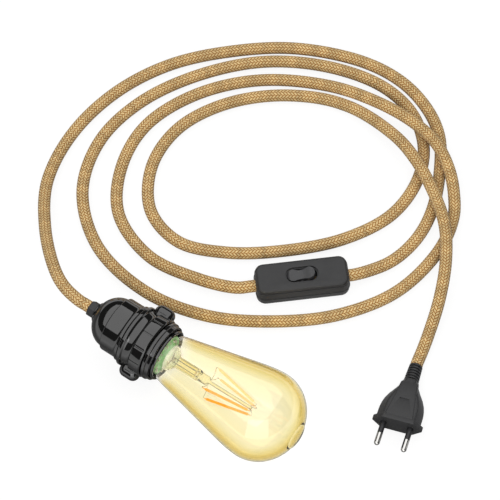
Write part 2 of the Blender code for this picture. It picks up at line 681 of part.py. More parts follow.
def make_holder_inside(lamp, upper_bore):
    """Steatite block with its two clamp terminals, the spring tongue and the cord's bared ends."""
    block_low = -WEB_DEPTH - WEB_HEIGHT - FIT
    block_top = block_low - BLOCK_HEIGHT
    radius = upper_bore - FIT
    edge = 0.6 * MM
    profile = [(0.0, block_low), (radius, block_low), (radius, block_top + edge), (radius - edge, block_top)]
    block = piece("terminal_block", turned(profile + [(0.0, block_top)], 28), CERAMIC, lamp)
    slots = []
    for side in (1, -1):
        low_corner = (side * 6.0 * MM - BLOCK_SLOT_WIDTH / 2, 4.0 * MM, block_top - 1.0 * MM)
        high_corner = (side * 6.0 * MM + BLOCK_SLOT_WIDTH / 2, radius + 1.0 * MM, block_low + 1.0 * MM)
        slots.append(box(low_corner, high_corner))
    combine(block, piece("block_slot_tool", joined(*slots), CERAMIC, lamp), "DIFFERENCE")

    terminal_low = block_top - FIT
    terminal_top = terminal_low - TERMINAL_HEIGHT
    for side, label in ((1, "live"), (-1, "neutral")):
        inner_face = side * TERMINAL_INNER
        outer_face = side * (TERMINAL_INNER + TERMINAL_LENGTH)
        half = TERMINAL_WIDTH / 2
        corners = sorted((inner_face, outer_face))
        clamp = box((corners[0], -half, terminal_top), (corners[1], half, terminal_low))
        bmesh.ops.bevel(clamp, geom=clamp.edges, offset=0.4 * MM, segments=1, affect="EDGES")
        piece("terminal_" + label, clamp, BRASS, lamp)
        head_top = terminal_top - FIT - TERMINAL_SCREW_HEIGHT
        head = cylinder(TERMINAL_SCREW_RADIUS, head_top, terminal_top - FIT, 16)
        middle = side * (TERMINAL_INNER + TERMINAL_LENGTH / 2)
        screw = piece("terminal_screw_" + label, moved(head, (middle, 0.0, 0.0)), PLATED, lamp)
        slot_low = (middle - 0.3 * MM, -2.0 * MM, head_top - 1.0 * MM)
        slot_high = (middle + 0.3 * MM, 2.0 * MM, head_top + 0.5 * MM)
        slot = piece("screw_slot_tool_" + label, box(slot_low, slot_high), PLATED, lamp)
        combine(screw, slot, "DIFFERENCE")
        start = DOME_TOP - GRIP_LENGTH + CORD_IN_GRIP + FIT
        meet = terminal_low - TERMINAL_HEIGHT / 2
        route = [
            (side * CONDUCTOR_OFFSET, 0.0, start),
            (side * CONDUCTOR_OFFSET, 0.0, meet - 2.4 * MM),
            (side * (CONDUCTOR_OFFSET + 0.2 * MM), 0.0, meet - 1.0 * MM),
            (side * (CONDUCTOR_OFFSET + 0.9 * MM), 0.0, meet - 0.1 * MM),
            (side * (TERMINAL_INNER - FIT), 0.0, meet),
        ]
        tube("conductor_" + label, route, CONDUCTOR_RADIUS, INSULATION, lamp)

    low_face = block_low + FIT
    contact_level = -CAP_END - FIT - INSULATOR_HEIGHT - FIT - CONTACT_HEIGHT - FIT
    thick = TONGUE_THICKNESS
    tongue = [
        (-9.0 * MM, low_face), (-3.0 * MM, low_face), (0.5 * MM, contact_level - thick),
        (4.0 * MM, contact_level - thick), (5.5 * MM, contact_level - 2 * thick),
        (5.5 * MM, contact_level - thick), (4.2 * MM, contact_level), (0.2 * MM, contact_level),
        (-3.2 * MM, low_face + thick), (-9.0 * MM, low_face + thick),
    ]
    piece("centre_contact", slab(tongue, TONGUE_WIDTH / 2), BRASS, lamp)


def make_bulb_cap(lamp):
    """Rolled cap with its thread, the black glass insulator and the centre contact."""
    inner = CAP_RADIUS - CAP_WALL
    root = CAP_RADIUS - CAP_THREAD_DEPTH - CAP_WALL
    rows = thread_rows(CAP_RADIUS, -CAP_THREAD_END, -CAP_THREAD_START)[::-1]
    profile = [(CAP_RADIUS, -CAP_RIM)] + rows + [
        (CAP_END_RADIUS, -CAP_END),
        (CAP_END_RADIUS - 1.0 * MM, -CAP_END),
        (CAP_END_RADIUS - 1.0 * MM, -CAP_END + 0.5 * MM),
        (root, -CAP_THREAD_END + 0.8 * MM),
        (root, -CAP_THREAD_START - 0.3 * MM),
        (inner, -CAP_THREAD_START + 0.3 * MM),
        (inner, -CAP_RIM),
    ]
    bm = turned(profile, 28)
    wave_thread(bm, -CAP_THREAD_END, -CAP_THREAD_START, CAP_THREAD_DEPTH, CAP_RADIUS)
    piece("bulb_cap", bm, PLATED, lamp)

    top = -CAP_END - FIT
    tip = top - INSULATOR_HEIGHT
    stub = CAP_END_RADIUS - 1.0 * MM - FIT
    profile = [
        (0.0, -CAP_END + 0.5 * MM), (stub, -CAP_END + 0.5 * MM), (stub, top), (CAP_END_RADIUS - 0.4 * MM, top),
        (INSULATOR_TIP_RADIUS, tip), (0.0, tip),
    ]
    piece("cap_insulator", turned(profile, 24), BLACK_GLASS, lamp)
    face = tip - FIT
    profile = [
        (0.0, face), (CONTACT_RADIUS - 0.2 * MM, face), (CONTACT_RADIUS, face - 0.4 * MM),
        (CONTACT_RADIUS - 1.0 * MM, face - CONTACT_HEIGHT), (0.0, face - CONTACT_HEIGHT),
    ]
    piece("cap_contact", turned(profile, 20), PLATED, lamp)


def make_glass(lamp):
    """Blown envelope: one thin wall from the open neck to the rounded end with its low round mound."""
    outer = glass_outline()
    inner = set_in(outer, GLASS_WALL)
    inner[0] = (BULB_NECK_RADIUS - GLASS_WALL, outer[0][1])
    crown = BULB_LENGTH - PIP_HEIGHT - GLASS_WALL
    root = outer[-1][1]
    pip = arc((0.0, root), (PIP_RADIUS, BULB_LENGTH - root), 0, 90, 5)[1:-1] + [(0.0, BULB_LENGTH)]
    profile = [(0.0, crown)] + inner[::-1] + outer + pip
    piece("bulb_glass", turned(profile, 36), GLASS, lamp)


def make_stem(lamp, mount):
    """Driver board in the neck, and the glass mount: flare, tube, flattened pinch and rod."""
    rim = glass_radius(STEM_RIM) - GLASS_WALL - FIT
    wall = STEM_WALL
    tube_radius = STEM_TUBE_RADIUS
    flare = [
        (rim - 3.2 * MM, STEM_RIM + 1.3 * MM), (rim * 0.52, STEM_RIM + 4.0 * MM),
        (tube_radius + 0.6 * MM, STEM_TUBE_START - 2.6 * MM), (tube_radius, STEM_TUBE_START),
    ]
    underside = [
        (tube_radius - wall, STEM_TUBE_START), (tube_radius + 0.6 * MM - wall, STEM_TUBE_START - 3.0 * MM),
        (rim * 0.52 - wall, STEM_RIM + 3.4 * MM), (rim - 3.6 * MM, STEM_RIM + 0.4 * MM),
        (rim - 1.0 * MM, STEM_RIM),
    ]
    hollow_end = PINCH_START - 1.2 * MM
    profile = [
        (0.0, ROD_END), (ROD_RADIUS * 0.8, ROD_END - 0.3 * MM), (ROD_RADIUS, ROD_END - 1.0 * MM),
        (ROD_RADIUS, PINCH_END + 1.4 * MM), (PINCH_WIDTH * 0.4, PINCH_END),
        (PINCH_WIDTH / 2, PINCH_END - 1.0 * MM), (PINCH_WIDTH / 2, PINCH_START + 1.6 * MM),
        (tube_radius, PINCH_START),
    ]
    profile += flare[::-1] + [(rim, STEM_RIM + 0.5 * MM), (rim, STEM_RIM)] + underside[::-1]
    profile += [(tube_radius - wall, hollow_end - 1.5 * MM), (0.0, hollow_end)]
    bm = turned(profile, 24)
    flat = PINCH_THICKNESS / PINCH_WIDTH
    for vert in bm.verts:
        if PINCH_START + 0.1 * MM < vert.co.z < PINCH_END + 0.1 * MM:
            vert.co.y *= flat
    piece("stem_glass", bm, CLEAR, mount)

    board_top = STEM_RIM - FIT
    board = cylinder(BOARD_RADIUS, board_top - BOARD_THICKNESS, board_top, 28)
    piece("driver_board", board, BOARD_GREEN, lamp)


def make_filaments(mount):
    """Four filament rods that lean together, with the wires that carry them at both ends."""
    foot_radius, foot_height = FILAMENT_FOOT
    head_radius, head_height = FILAMENT_HEAD
    lean = math.atan2(foot_radius - head_radius, head_height - foot_height)
    length = math.hypot(foot_radius - head_radius, head_height - foot_height)
    tail = 1.6 * MM
    profile = [
        (0.0, 0.0), (WIRE_RADIUS, 0.0), (WIRE_RADIUS, tail), (FILAMENT_RADIUS, tail + 0.2 * MM),
        (FILAMENT_RADIUS, length - tail - 0.2 * MM), (WIRE_RADIUS, length - tail), (WIRE_RADIUS, length),
        (0.0, length),
    ]
    for k in range(FILAMENT_COUNT):
        turn = FILAMENT_TURN + math.tau * k / FILAMENT_COUNT
        spoke = empty(f"filament_frame_{k + 1}", (0.0, 0.0, 0.0), (0.0, 0.0, turn), mount)
        place = (foot_radius, 0.0, foot_height)
        piece(f"filament_{k + 1}", turned(profile, 10), PHOSPHOR, spoke, place, (0.0, -lean, 0.0))
        outward = math.cos(turn)
        pinch_edge = (PINCH_WIDTH / 2 - 1.2 * MM) * (1 if outward > 0 else -1)
        start = Vector((pinch_edge, 0.35 * MM * (1 if math.sin(turn) > 0 else -1), 0.0))
        start.rotate(Matrix.Rotation(-turn, 3, "Z"))
        lead = [
            (start.x, start.y, PINCH_END + FIT + WIRE_RADIUS * 0.5),
            (start.x, start.y, PINCH_END + 1.2 * MM),
            (start.x * 0.5 + foot_radius * 0.5, start.y * 0.5, foot_height - 0.4 * MM),
            (foot_radius - 0.6 * MM, 0.0, foot_height - 0.9 * MM),
            (foot_radius, 0.0, foot_height - FIT),
        ]
        tube(f"lead_wire_{k + 1}", lead, WIRE_RADIUS, PLATED, spoke)
        crown = [
            (ROD_RADIUS + FIT, 0.0, ROD_END - 1.4 * MM),
            (head_radius * 0.6, 0.0, head_height + 0.6 * MM),
            (head_radius - 0.3 * MM, 0.0, head_height + 0.9 * MM),
            (head_radius, 0.0, head_height + FIT),
        ]
        tube(f"crown_wire_{k + 1}", crown, WIRE_RADIUS, PLATED, spoke)


def make_switch_case(switch):
    """Two half shells of the inline switch: a shallow base, and a cover with the rocker's opening."""
    split = SWITCH_BASE_HEIGHT

    def ring(inset, height):
        length = SWITCH_LENGTH - 2 * inset
        outline = rounded_rectangle(length, SWITCH_WIDTH - 2 * inset, max(SWITCH_CORNER - inset, 1.0 * MM))
        return [(x, y, height) for x, y in outline]

    wall = SWITCH_WALL
    bed = 1.8 * MM
    base_rings = [
        ring(0.9 * MM, 0.0), ring(0.2 * MM, 0.5 * MM), ring(0.0, 1.2 * MM), ring(0.0, split - FIT),
        ring(wall, split - FIT), ring(wall, bed),
    ]
    base = piece("switch_base", lofted(base_rings), CASE, switch)
    step = 0.5 * MM
    top_ring = [
        ring(SWITCH_TOP_ROUND * (1 - math.sin(a)), SWITCH_HEIGHT - SWITCH_TOP_ROUND * (1 - math.cos(a)))
        for a in (math.radians(d) for d in (0, 22, 45, 68, 90))
    ]
    ceiling = SWITCH_HEIGHT - wall
    cover_rings = top_ring + [
        ring(0.0, split + 1.4 * MM), ring(-step, split + 1.0 * MM), ring(-step, split), ring(wall, split),
        ring(wall, ceiling - 1.2 * MM), ring(wall + 1.2 * MM, ceiling),
    ]
    cover = piece("switch_cover", lofted(cover_rings), CASE, switch)

    entry = []
    for side in (1, -1):
        hole = cylinder(CORD_RADIUS + FIT, 0.0, SWITCH_WALL + 5.0 * MM, 20)
        moved(hole, turn=math.pi / 2, axis="Y")
        start = SWITCH_LENGTH / 2 - wall - 2.5 * MM
        shift = start if side > 0 else -start - SWITCH_WALL - 5.0 * MM
        entry.append(moved(hole, (shift, 0.0, SWITCH_CORD_HEIGHT)))
    entry_tool = piece("cord_entry_tool", joined(*entry), CASE, switch)

    boss = []
    pads = []
    for side in (1, -1):
        place = (side * SWITCH_SCREW_X, SWITCH_SCREW_Y, 0.0)
        boss.append(moved(cylinder(3.0 * MM, split + 0.3 * MM, ceiling + 0.4 * MM, 20), place))
        pads.append(moved(cylinder(3.6 * MM, bed - 0.4 * MM, split - FIT, 20), place))
        inner = ROCKER_WIDTH / 2 + ROCKER_SIDE_CLEARANCE + RECESS_BORDER
        ear_low = (-3.2 * MM, inner, ROCKER_AXIS_HEIGHT - 2.8 * MM)
        ear_high = (3.2 * MM, inner + BEARING_THICKNESS, ceiling + 0.4 * MM)
        ear = box(ear_low, ear_high)
        boss.append(moved(ear, turn=0.0 if side > 0 else math.pi))
        strip_low = (9.0 * MM, -3.0 * MM, bed - 0.4 * MM)
        strip_high = (STRIP_OUTER_END - 1.0 * MM, 3.0 * MM, split - FIT)
        pads.append(moved(box(strip_low, strip_high), turn=0.0 if side > 0 else math.pi))
    combine(cover, piece("cover_boss_tool", joined(*boss), CASE, switch), "UNION")
    combine(base, piece("base_pad_tool", joined(*pads), CASE, switch), "UNION")

    opening_length = ROCKER_LENGTH + 2 * ROCKER_CLEARANCE
    opening_width = ROCKER_WIDTH + 2 * ROCKER_SIDE_CLEARANCE
    opening = prism(stadium(opening_length, opening_width), ceiling - 2.0 * MM, SWITCH_HEIGHT + 1.0 * MM)
    combine(cover, piece("rocker_opening_tool", opening, CASE, switch), "DIFFERENCE")
    border = 2 * RECESS_BORDER
    outline = stadium(opening_length + border, opening_width + border)
    recess = prism(outline, SWITCH_HEIGHT - RECESS_DEPTH, SWITCH_HEIGHT + 1.0 * MM)
    combine(cover, piece("rocker_recess_tool", recess, CASE, switch), "DIFFERENCE")
    bearing = cylinder(ROCKER_PIN_RADIUS + FIT, -SWITCH_WIDTH / 3, SWITCH_WIDTH / 3, 16)
    moved(bearing, turn=math.pi / 2, axis="X")
    moved(bearing, (0.0, 0.0, ROCKER_AXIS_HEIGHT))
    combine(cover, piece("bearing_tool", bearing, CASE, switch), "DIFFERENCE")

    shank = SCREW_SHANK_RADIUS + FIT
    head = SCREW_HEAD_RADIUS + FIT
    seat = SCREW_SINK + SCREW_HEAD_HEIGHT + FIT
    drill = []
    for side in (1, -1):
        profile = [
            (0.0, -1.0 * MM), (head, -1.0 * MM), (head, seat), (shank, seat),
            (shank, SCREW_SINK + SCREW_LENGTH + FIT), (0.0, SCREW_SINK + SCREW_LENGTH + FIT),
        ]
        drill.append(moved(turned(profile, 20), (side * SWITCH_SCREW_X, SWITCH_SCREW_Y, 0.0)))
    drill_tool = piece("screw_drill_tool", joined(*drill), CASE, switch)
    for shell in (base, cover):
        combine(shell, entry_tool, "DIFFERENCE")
        combine(shell, drill_tool, "DIFFERENCE")


def make_switch_screws(switch):
    """Two screws that hold the halves together from below."""
    for number, side in ((1, 1), (2, -1)):
        top = SCREW_SINK + SCREW_HEAD_HEIGHT
        profile = [
            (0.0, SCREW_SINK), (SCREW_HEAD_RADIUS, SCREW_SINK), (SCREW_HEAD_RADIUS, top - 0.4 * MM),
            (SCREW_HEAD_RADIUS - 0.4 * MM, top), (SCREW_SHANK_RADIUS, top),
            (SCREW_SHANK_RADIUS, SCREW_SINK + SCREW_LENGTH - 1.2 * MM), (0.0, SCREW_SINK + SCREW_LENGTH),
        ]
        place = (side * SWITCH_SCREW_X, SWITCH_SCREW_Y, 0.0)
        screw = piece(f"switch_screw_{number}", moved(turned(profile, 20), place), PLATED, switch)
        arm = 1.5 * MM
        half = 0.35 * MM
        depth = SCREW_SINK + 0.8 * MM
        cross = [box((-arm, -half, -1.0 * MM), (arm, half, depth))]
        cross = piece(f"drive_tool_{number}a", moved(cross[0], place), PLATED, switch)
        other = box((-half, -arm, -1.0 * MM), (half, arm, depth))
        other = piece(f"drive_tool_{number}b", moved(other, place), PLATED, switch)
        combine(screw, cross, "DIFFERENCE")
        combine(screw, other, "DIFFERENCE")


def make_rocker(switch):
    """Waisted, saddle-shaped rocker on two trunnions, with the contact bar under it, on its own axis."""
    axis = empty("rocker_axis", (0.0, 0.0, ROCKER_AXIS_HEIGHT), (0.0, -ROCKER_TILT, 0.0), switch)
    reach = ROCKER_LENGTH / 2
    rise = ROCKER_END_HEIGHT - ROCKER_MIDDLE_HEIGHT
    top = []
    for k in range(13):
        x = reach - 2 * reach * k / 12
        share = abs(x) / reach
        height = ROCKER_MIDDLE_HEIGHT + rise * math.sin(min(1.0, share * 1.15) * math.pi / 2) ** 2
        top.append((x, height - 0.9 * MM * max(0.0, share - 0.8) / 0.2))
    outline = top + [(-reach, 0.0), (-reach * 0.8, -ROCKER_DEPTH), (reach * 0.8, -ROCKER_DEPTH), (reach, 0.0)]
    rocker = piece("rocker", slab(outline, ROCKER_WIDTH / 2 + 1.0 * MM), CASE, axis)
    rounding = prism(waisted(ROCKER_LENGTH, ROCKER_WIDTH, ROCKER_WAIST), -5.0 * MM, 8.0 * MM)
    combine(rocker, piece("rocker_plan_tool", rounding, CASE, axis), "INTERSECT")
    inner = ROCKER_WIDTH / 2 + ROCKER_SIDE_CLEARANCE + RECESS_BORDER
    half = inner + BEARING_THICKNESS - 0.2 * MM
    pins = moved(cylinder(ROCKER_PIN_RADIUS, -half, half, 16), turn=math.pi / 2, axis="X")
    combine(rocker, piece("trunnion_tool", pins, CASE, axis), "UNION")
    level = -ROCKER_PIN_RADIUS - FIT
    thick = CONTACT_BAR_THICKNESS
    end = CONTACT_BAR_LENGTH / 2
    bar = box((-end, -STRIP_WIDTH / 2, level - thick), (end, STRIP_WIDTH / 2, level))
    piece("contact_bar", bar, BRASS, axis)


def make_switch_inside(switch):
    """Fixed contact strips, the cord clamps, and the conductors between them."""
    bottom = SWITCH_BASE_HEIGHT
    end = CONTACT_BAR_LENGTH / 2
    drop = ROCKER_PIN_RADIUS + FIT + CONTACT_BAR_THICKNESS
    lowest = ROCKER_AXIS_HEIGHT - drop * math.cos(ROCKER_TILT) - end * math.sin(ROCKER_TILT)
    post_top = lowest - FIT
    thick = STRIP_THICKNESS
    inner = end * math.cos(ROCKER_TILT) - 1.4 * MM
    cord_end = SWITCH_LENGTH / 2 - CORD_IN_SWITCH
    for side, label in ((1, "right"), (-1, "left")):
        outline = [
            (inner, post_top), (inner, bottom), (STRIP_OUTER_END, bottom), (STRIP_OUTER_END, bottom + 4.4 * MM),
            (STRIP_OUTER_END - thick, bottom + 4.4 * MM), (STRIP_OUTER_END - thick, bottom + thick),
            (inner + 1.6 * MM, bottom + thick), (inner + 1.6 * MM, post_top),
        ]
        turn = 0.0 if side > 0 else math.pi
        strip = moved(slab(outline, STRIP_WIDTH / 2), turn=turn)
        piece("fixed_contact_" + label, strip, BRASS, switch)
        wire = [
            (side * (cord_end - FIT), 1.2 * MM, SWITCH_CORD_HEIGHT),
            (side * (STRIP_OUTER_END + FIT), 1.2 * MM, SWITCH_CORD_HEIGHT),
        ]
        tube("switch_lead_" + label, wire, CONDUCTOR_RADIUS, INSULATION, switch)
        low = SWITCH_CORD_HEIGHT + CORD_RADIUS + FIT
        start = cord_end + 1.4 * MM
        corners = sorted((side * start, side * (start + CLAMP_LENGTH)))
        clamp = box((corners[0], -CLAMP_WIDTH / 2, low), (corners[1], CLAMP_WIDTH / 2, low + CLAMP_THICKNESS))
        bmesh.ops.bevel(clamp, geom=clamp.edges, offset=0.3 * MM, segments=1, affect="EDGES")
        piece("cord_clamp_" + label, clamp, PLATED, switch)
    lane = -7.5 * MM
    level = SWITCH_WALL + CONDUCTOR_RADIUS + 3 * FIT
    half = [
        (cord_end - FIT, -2.6 * MM, SWITCH_CORD_HEIGHT - 0.8 * MM),
        (cord_end - 1.5 * MM, -2.8 * MM, SWITCH_CORD_HEIGHT - 0.9 * MM),
        (cord_end - 4.0 * MM, -5.0 * MM, 6.0 * MM),
        (cord_end - 8.0 * MM, lane + 0.3 * MM, level + 0.8 * MM),
        (cord_end - 12.0 * MM, lane, level),
    ]
    route = [(-x, y, z) for x, y, z in half] + [(0.0, lane, level)] + half[::-1]
    tube("through_conductor", smooth_route(route, 16), CONDUCTOR_RADIUS, INSULATION, switch)


def make_plug(plug):
    """Moulded plug body: six-sided at the pin face, drawn in to a ribbed strain relief."""
    flange = PLUG_FLANGE_LENGTH
    length = PLUG_BODY_LENGTH

    def section(back, width, thickness, flat):
        half = thickness / 2
        edge = (width - flat) / 2
        soft = 0.12
        outline = []
        corners = [
            (width / 2, 0.0), (flat / 2, half), (-flat / 2, half),
            (-width / 2, 0.0), (-flat / 2, -half), (flat / 2, -half),
        ]
        for k, corner in enumerate(corners):
            for near in (corners[k - 1], corners[(k + 1) % 6]):
                reach = min(soft * edge / math.dist(corner, near) * 4, 0.3)
                outline.append(tuple(c + (n - c) * reach for c, n in zip(corner, near)))
        return [(-back, y, z) for y, z in outline]

    def body_section(share, drawn_in):
        width = PLUG_BODY_WIDTH + (PLUG_NECK_WIDTH - PLUG_BODY_WIDTH) * drawn_in
        thickness = PLUG_BODY_THICKNESS + (PLUG_NECK_THICKNESS - PLUG_BODY_THICKNESS) * drawn_in
        flat = width * (PLUG_FLAT / PLUG_BODY_WIDTH) * (1 - 0.15 * drawn_in)
        return section(flange + (length - flange) * share, width, thickness, flat)

    rim = 0.4 * MM
    sections = [
        section(0.0, PLUG_WIDTH - 2 * rim, PLUG_THICKNESS - 2 * rim, PLUG_FLAT),
        section(rim, PLUG_WIDTH, PLUG_THICKNESS, PLUG_FLAT),
        section(flange - rim, PLUG_WIDTH, PLUG_THICKNESS, PLUG_FLAT),
    ]
    shape = (
        (0.0, 0.0), (0.22, 0.005), (0.35, 0.06), (0.47, 0.165), (0.60, 0.355), (0.74, 0.65), (0.89, 0.93), (1.0, 1.0),
    )
    sections += [body_section(share, drawn_in) for share, drawn_in in shape]
    body = piece("plug_body", lofted(sections), CASE, plug)

    pitch = RELIEF_LENGTH / RELIEF_RIBS
    root = length - 2.0 * MM
    outer = [(0.0, root), (RELIEF_ROOT_RADIUS - RELIEF_GROOVE, root)]
    for k in range(RELIEF_RIBS):
        start = length + pitch * k
        radius = RELIEF_ROOT_RADIUS + (RELIEF_TIP_RADIUS - RELIEF_ROOT_RADIUS) * (k + 0.5) / RELIEF_RIBS
        outer += [
            (radius - RELIEF_GROOVE, start), (radius - RELIEF_GROOVE, start + pitch * 0.25),
            (radius, start + pitch * 0.4), (radius, start + pitch * 0.9),
        ]
    tip = length + RELIEF_LENGTH
    outer += [(RELIEF_TIP_RADIUS - 0.3 * MM, tip), (0.0, tip)]
    relief = moved(turned(outer, 20), turn=-math.pi / 2, axis="Y")
    combine(body, piece("relief_tool", relief, CASE, plug), "UNION")

    back = flange + PANEL_START
    wide = PLUG_FLAT * 0.34
    narrow = PLUG_FLAT * 0.21
    panel = [(-back, -wide), (-back, wide), (-back - PANEL_LENGTH, narrow), (-back - PANEL_LENGTH, -narrow)]
    top = PLUG_BODY_THICKNESS / 2
    raised = piece("panel_tool", prism(panel, top - 1.5 * MM, top + PANEL_HEIGHT), CASE, plug)
    combine(body, raised, "UNION")
    middle = -back - PANEL_LENGTH * 0.55
    line = box(
        (middle, -GRIP_LINE_LENGTH / 2, top + PANEL_HEIGHT - 0.4 * MM),
        (middle + GRIP_LINE_WIDTH, GRIP_LINE_LENGTH / 2, top + PANEL_HEIGHT + 1.0 * MM),
    )
    combine(body, piece("grip_line_tool", line, CASE, plug), "DIFFERENCE")

    bores = []
    depth = PIN_IN_BODY + FIT
    for side in (1, -1):
        bore = moved(cylinder(SLEEVE_RADIUS + FIT, -depth, 1.0 * MM, 20), turn=math.pi / 2, axis="Y")
        bores.append(moved(bore, (0.0, side * PIN_SPACING / 2, 0.0)))
    combine(body, piece("pin_bore_tool", joined(*bores), CASE, plug), "DIFFERENCE")


def make_pins(plug):
    """Two round pins, thinner inside their insulating sleeves, with full-size round tips."""
    core = PIN_CORE_RADIUS
    step = SLEEVE_LENGTH + FIT
    nose = arc((0.0, PIN_LENGTH - PIN_RADIUS), (PIN_RADIUS, PIN_RADIUS), 0, 90, 4)
    pin = [(0.0, -PIN_IN_BODY), (core, -PIN_IN_BODY), (core, step), (PIN_RADIUS, step)] + nose[:-1]
    pin.append((0.0, PIN_LENGTH))
    bore = core + FIT
    sleeve = [
        (bore, -PIN_IN_BODY), (SLEEVE_RADIUS, -PIN_IN_BODY), (SLEEVE_RADIUS, SLEEVE_LENGTH),
        (bore, SLEEVE_LENGTH),
    ]
    for side, label in ((1, "right"), (-1, "left")):
        place = (0.0, side * PIN_SPACING / 2, 0.0)
        turn = (0.0, math.pi / 2, 0.0)
        piece("plug_pin_" + label, turned(pin, 20), PLATED, plug, place, turn)
        piece("pin_sleeve_" + label, turned(sleeve, 20), SLEEVE, plug, place, turn)


def make_cords():
    """The two free lengths of braided cord: grip to switch, and switch to plug."""
    heading = Vector((math.cos(SWITCH_TURN), math.sin(SWITCH_TURN), 0.0))
    centre = Vector(SWITCH_PLACE) + Vector((0.0, 0.0, SWITCH_CORD_HEIGHT))
    inside = SWITCH_LENGTH / 2 - CORD_IN_SWITCH
    outside = SWITCH_LENGTH / 2 + 3.0 * MM
    grip_x = MOUTH_X - HOLDER_LENGTH
    start = [Vector((grip_x + CORD_IN_GRIP, 0.0, BULB_RADIUS)), Vector((grip_x - 4.0 * MM, 0.0, BULB_RADIUS))]
    free = [Vector(point) * MM for point in LAMP_CORD_ROUTE]
    finish = [centre + heading * outside, centre + heading * inside]
    route = smooth_route(start + free + finish, LAMP_CORD_POINT_COUNT)
    tube("lamp_cord", route, CORD_RADIUS, TEXTILE, sides=CORD_SIDES_SETTING, floor=True)

    start = [centre - heading * inside, centre - heading * outside]
    free = [Vector(point) * MM for point in PLUG_CORD_ROUTE]
    level = math.cos(PLUG_RISE)
    pins = Vector((math.cos(PLUG_TURN) * level, math.sin(PLUG_TURN) * level, math.sin(PLUG_RISE)))
    relief_end = Vector(PLUG_PLACE) - pins * (PLUG_BODY_LENGTH + RELIEF_LENGTH + FIT)
    finish = [relief_end - pins * 3.0 * MM, relief_end]
    route = smooth_route(start + free + finish, PLUG_CORD_POINT_COUNT)
    tube("plug_cord", route, CORD_RADIUS, TEXTILE, sides=CORD_SIDES_SETTING, floor=True)


for old in list(bpy.data.objects):
    bpy.data.objects.remove(old, do_unlink=True)

lamp = empty("lamp_frame", (MOUTH_X, 0.0, BULB_RADIUS), (0.0, math.pi / 2, 0.0))
mount = empty("mount_frame", (0.0, 0.0, 0.0), (0.0, 0.0, math.radians(90.0)), lamp)
make_cord_grip(lamp)
make_dome(lamp)
skirt_upper_bore = make_skirt(lamp)
shade_ring_end = make_shade_ring(lamp)
make_lock_ring(lamp, shade_ring_end)
make_screw_shell(lamp)
make_holder_inside(lamp, skirt_upper_bore)
make_bulb_cap(lamp)
make_glass(lamp)
make_stem(lamp, mount)
make_filaments(mount)

switch = empty("switch_frame", SWITCH_PLACE, (0.0, 0.0, SWITCH_TURN))
make_switch_case(switch)
make_switch_screws(switch)
make_rocker(switch)
make_switch_inside(switch)

plug = empty("plug_frame", PLUG_PLACE, (0.0, -PLUG_RISE, PLUG_TURN))
make_plug(plug)
make_pins(plug)
make_cords()
bpy.context.view_layer.update()
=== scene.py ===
import math

import bpy
import numpy as np
from mathutils import Matrix, Vector


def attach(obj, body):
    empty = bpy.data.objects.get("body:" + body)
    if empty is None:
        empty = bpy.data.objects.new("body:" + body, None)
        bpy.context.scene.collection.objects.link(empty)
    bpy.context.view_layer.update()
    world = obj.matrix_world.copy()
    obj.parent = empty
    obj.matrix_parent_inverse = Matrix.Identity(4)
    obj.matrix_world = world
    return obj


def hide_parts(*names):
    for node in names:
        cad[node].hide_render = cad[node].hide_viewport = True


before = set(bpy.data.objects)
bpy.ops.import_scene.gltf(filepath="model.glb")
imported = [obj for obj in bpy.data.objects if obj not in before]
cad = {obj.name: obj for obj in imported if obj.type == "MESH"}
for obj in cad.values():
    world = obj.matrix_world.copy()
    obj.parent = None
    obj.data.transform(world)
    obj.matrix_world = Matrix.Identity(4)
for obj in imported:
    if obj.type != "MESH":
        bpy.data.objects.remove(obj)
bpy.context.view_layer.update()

# The photographer's place: the lamp points down and to the right in the picture, and the long lens looks
# down at 61 degrees from two and a half metres away.
LOOK_AT = Vector((-0.03296, 0.11313, 0.0))
LOOK_DOWN = math.radians(61.0)
LOOK_ROUND = math.radians(34.98)
DISTANCE = 2.5
right = Vector((math.cos(LOOK_ROUND), math.sin(LOOK_ROUND), 0.0))
ahead = Vector((-math.sin(LOOK_ROUND), math.cos(LOOK_ROUND), 0.0))
forward = ahead * math.cos(LOOK_DOWN) - Vector((0.0, 0.0, math.sin(LOOK_DOWN)))
upward = ahead * math.sin(LOOK_DOWN) + Vector((0.0, 0.0, math.cos(LOOK_DOWN)))
bpy.ops.object.select_all(action="DESELECT")
bpy.ops.object.camera_add(location=LOOK_AT - DISTANCE * forward)
camera = bpy.context.object
camera.rotation_euler = Matrix((right, upward, -forward)).transposed().to_euler()
camera.data.sensor_width = 36.0
camera.data.lens = 259.2
bpy.context.scene.camera = camera
scene = bpy.context.scene
scene.view_settings.view_transform = "Standard"


# The studio: a wide pale floor in a dim room, under one very large soft box, with a smaller one at the right.
# The large box's straight edges are what draws the crisp grey panels on the glossy holder.
def colour(hex_value):
    """Turns an sRGB hex value into the linear colour that a shader works with."""
    parts = [int(hex_value[i : i + 2], 16) / 255 for i in (0, 2, 4)]
    return [c / 12.92 if c <= 0.04045 else ((c + 0.055) / 1.055) ** 2.4 for c in parts] + [1.0]


def feed(tree, node, sockets):
    """Fills sockets: from another node's first output, from an output that is named, or with a value."""
    for socket, source in sockets.items():
        if isinstance(source, bpy.types.Node):
            source = source.outputs[0]
        if isinstance(source, bpy.types.NodeSocket):
            tree.links.new(source, node.inputs[socket])
        else:
            node.inputs[socket].default_value = source


def add(tree, kind, sockets=None, stops=(), **settings):
    """Adds a node with its settings, fills its sockets, and colours the stops of a ramp from low to high."""
    node = tree.nodes.new(kind)
    for name, value in settings.items():
        setattr(node, name, value)
    feed(tree, node, sockets or {})
    if stops:
        marks = node.color_ramp.elements
        for mark, (position, tone) in zip(marks, (stops[0], stops[-1])):
            mark.position, mark.color = position, colour(tone)
        for position, tone in stops[1:-1]:
            marks.new(position).color = colour(tone)
    return node


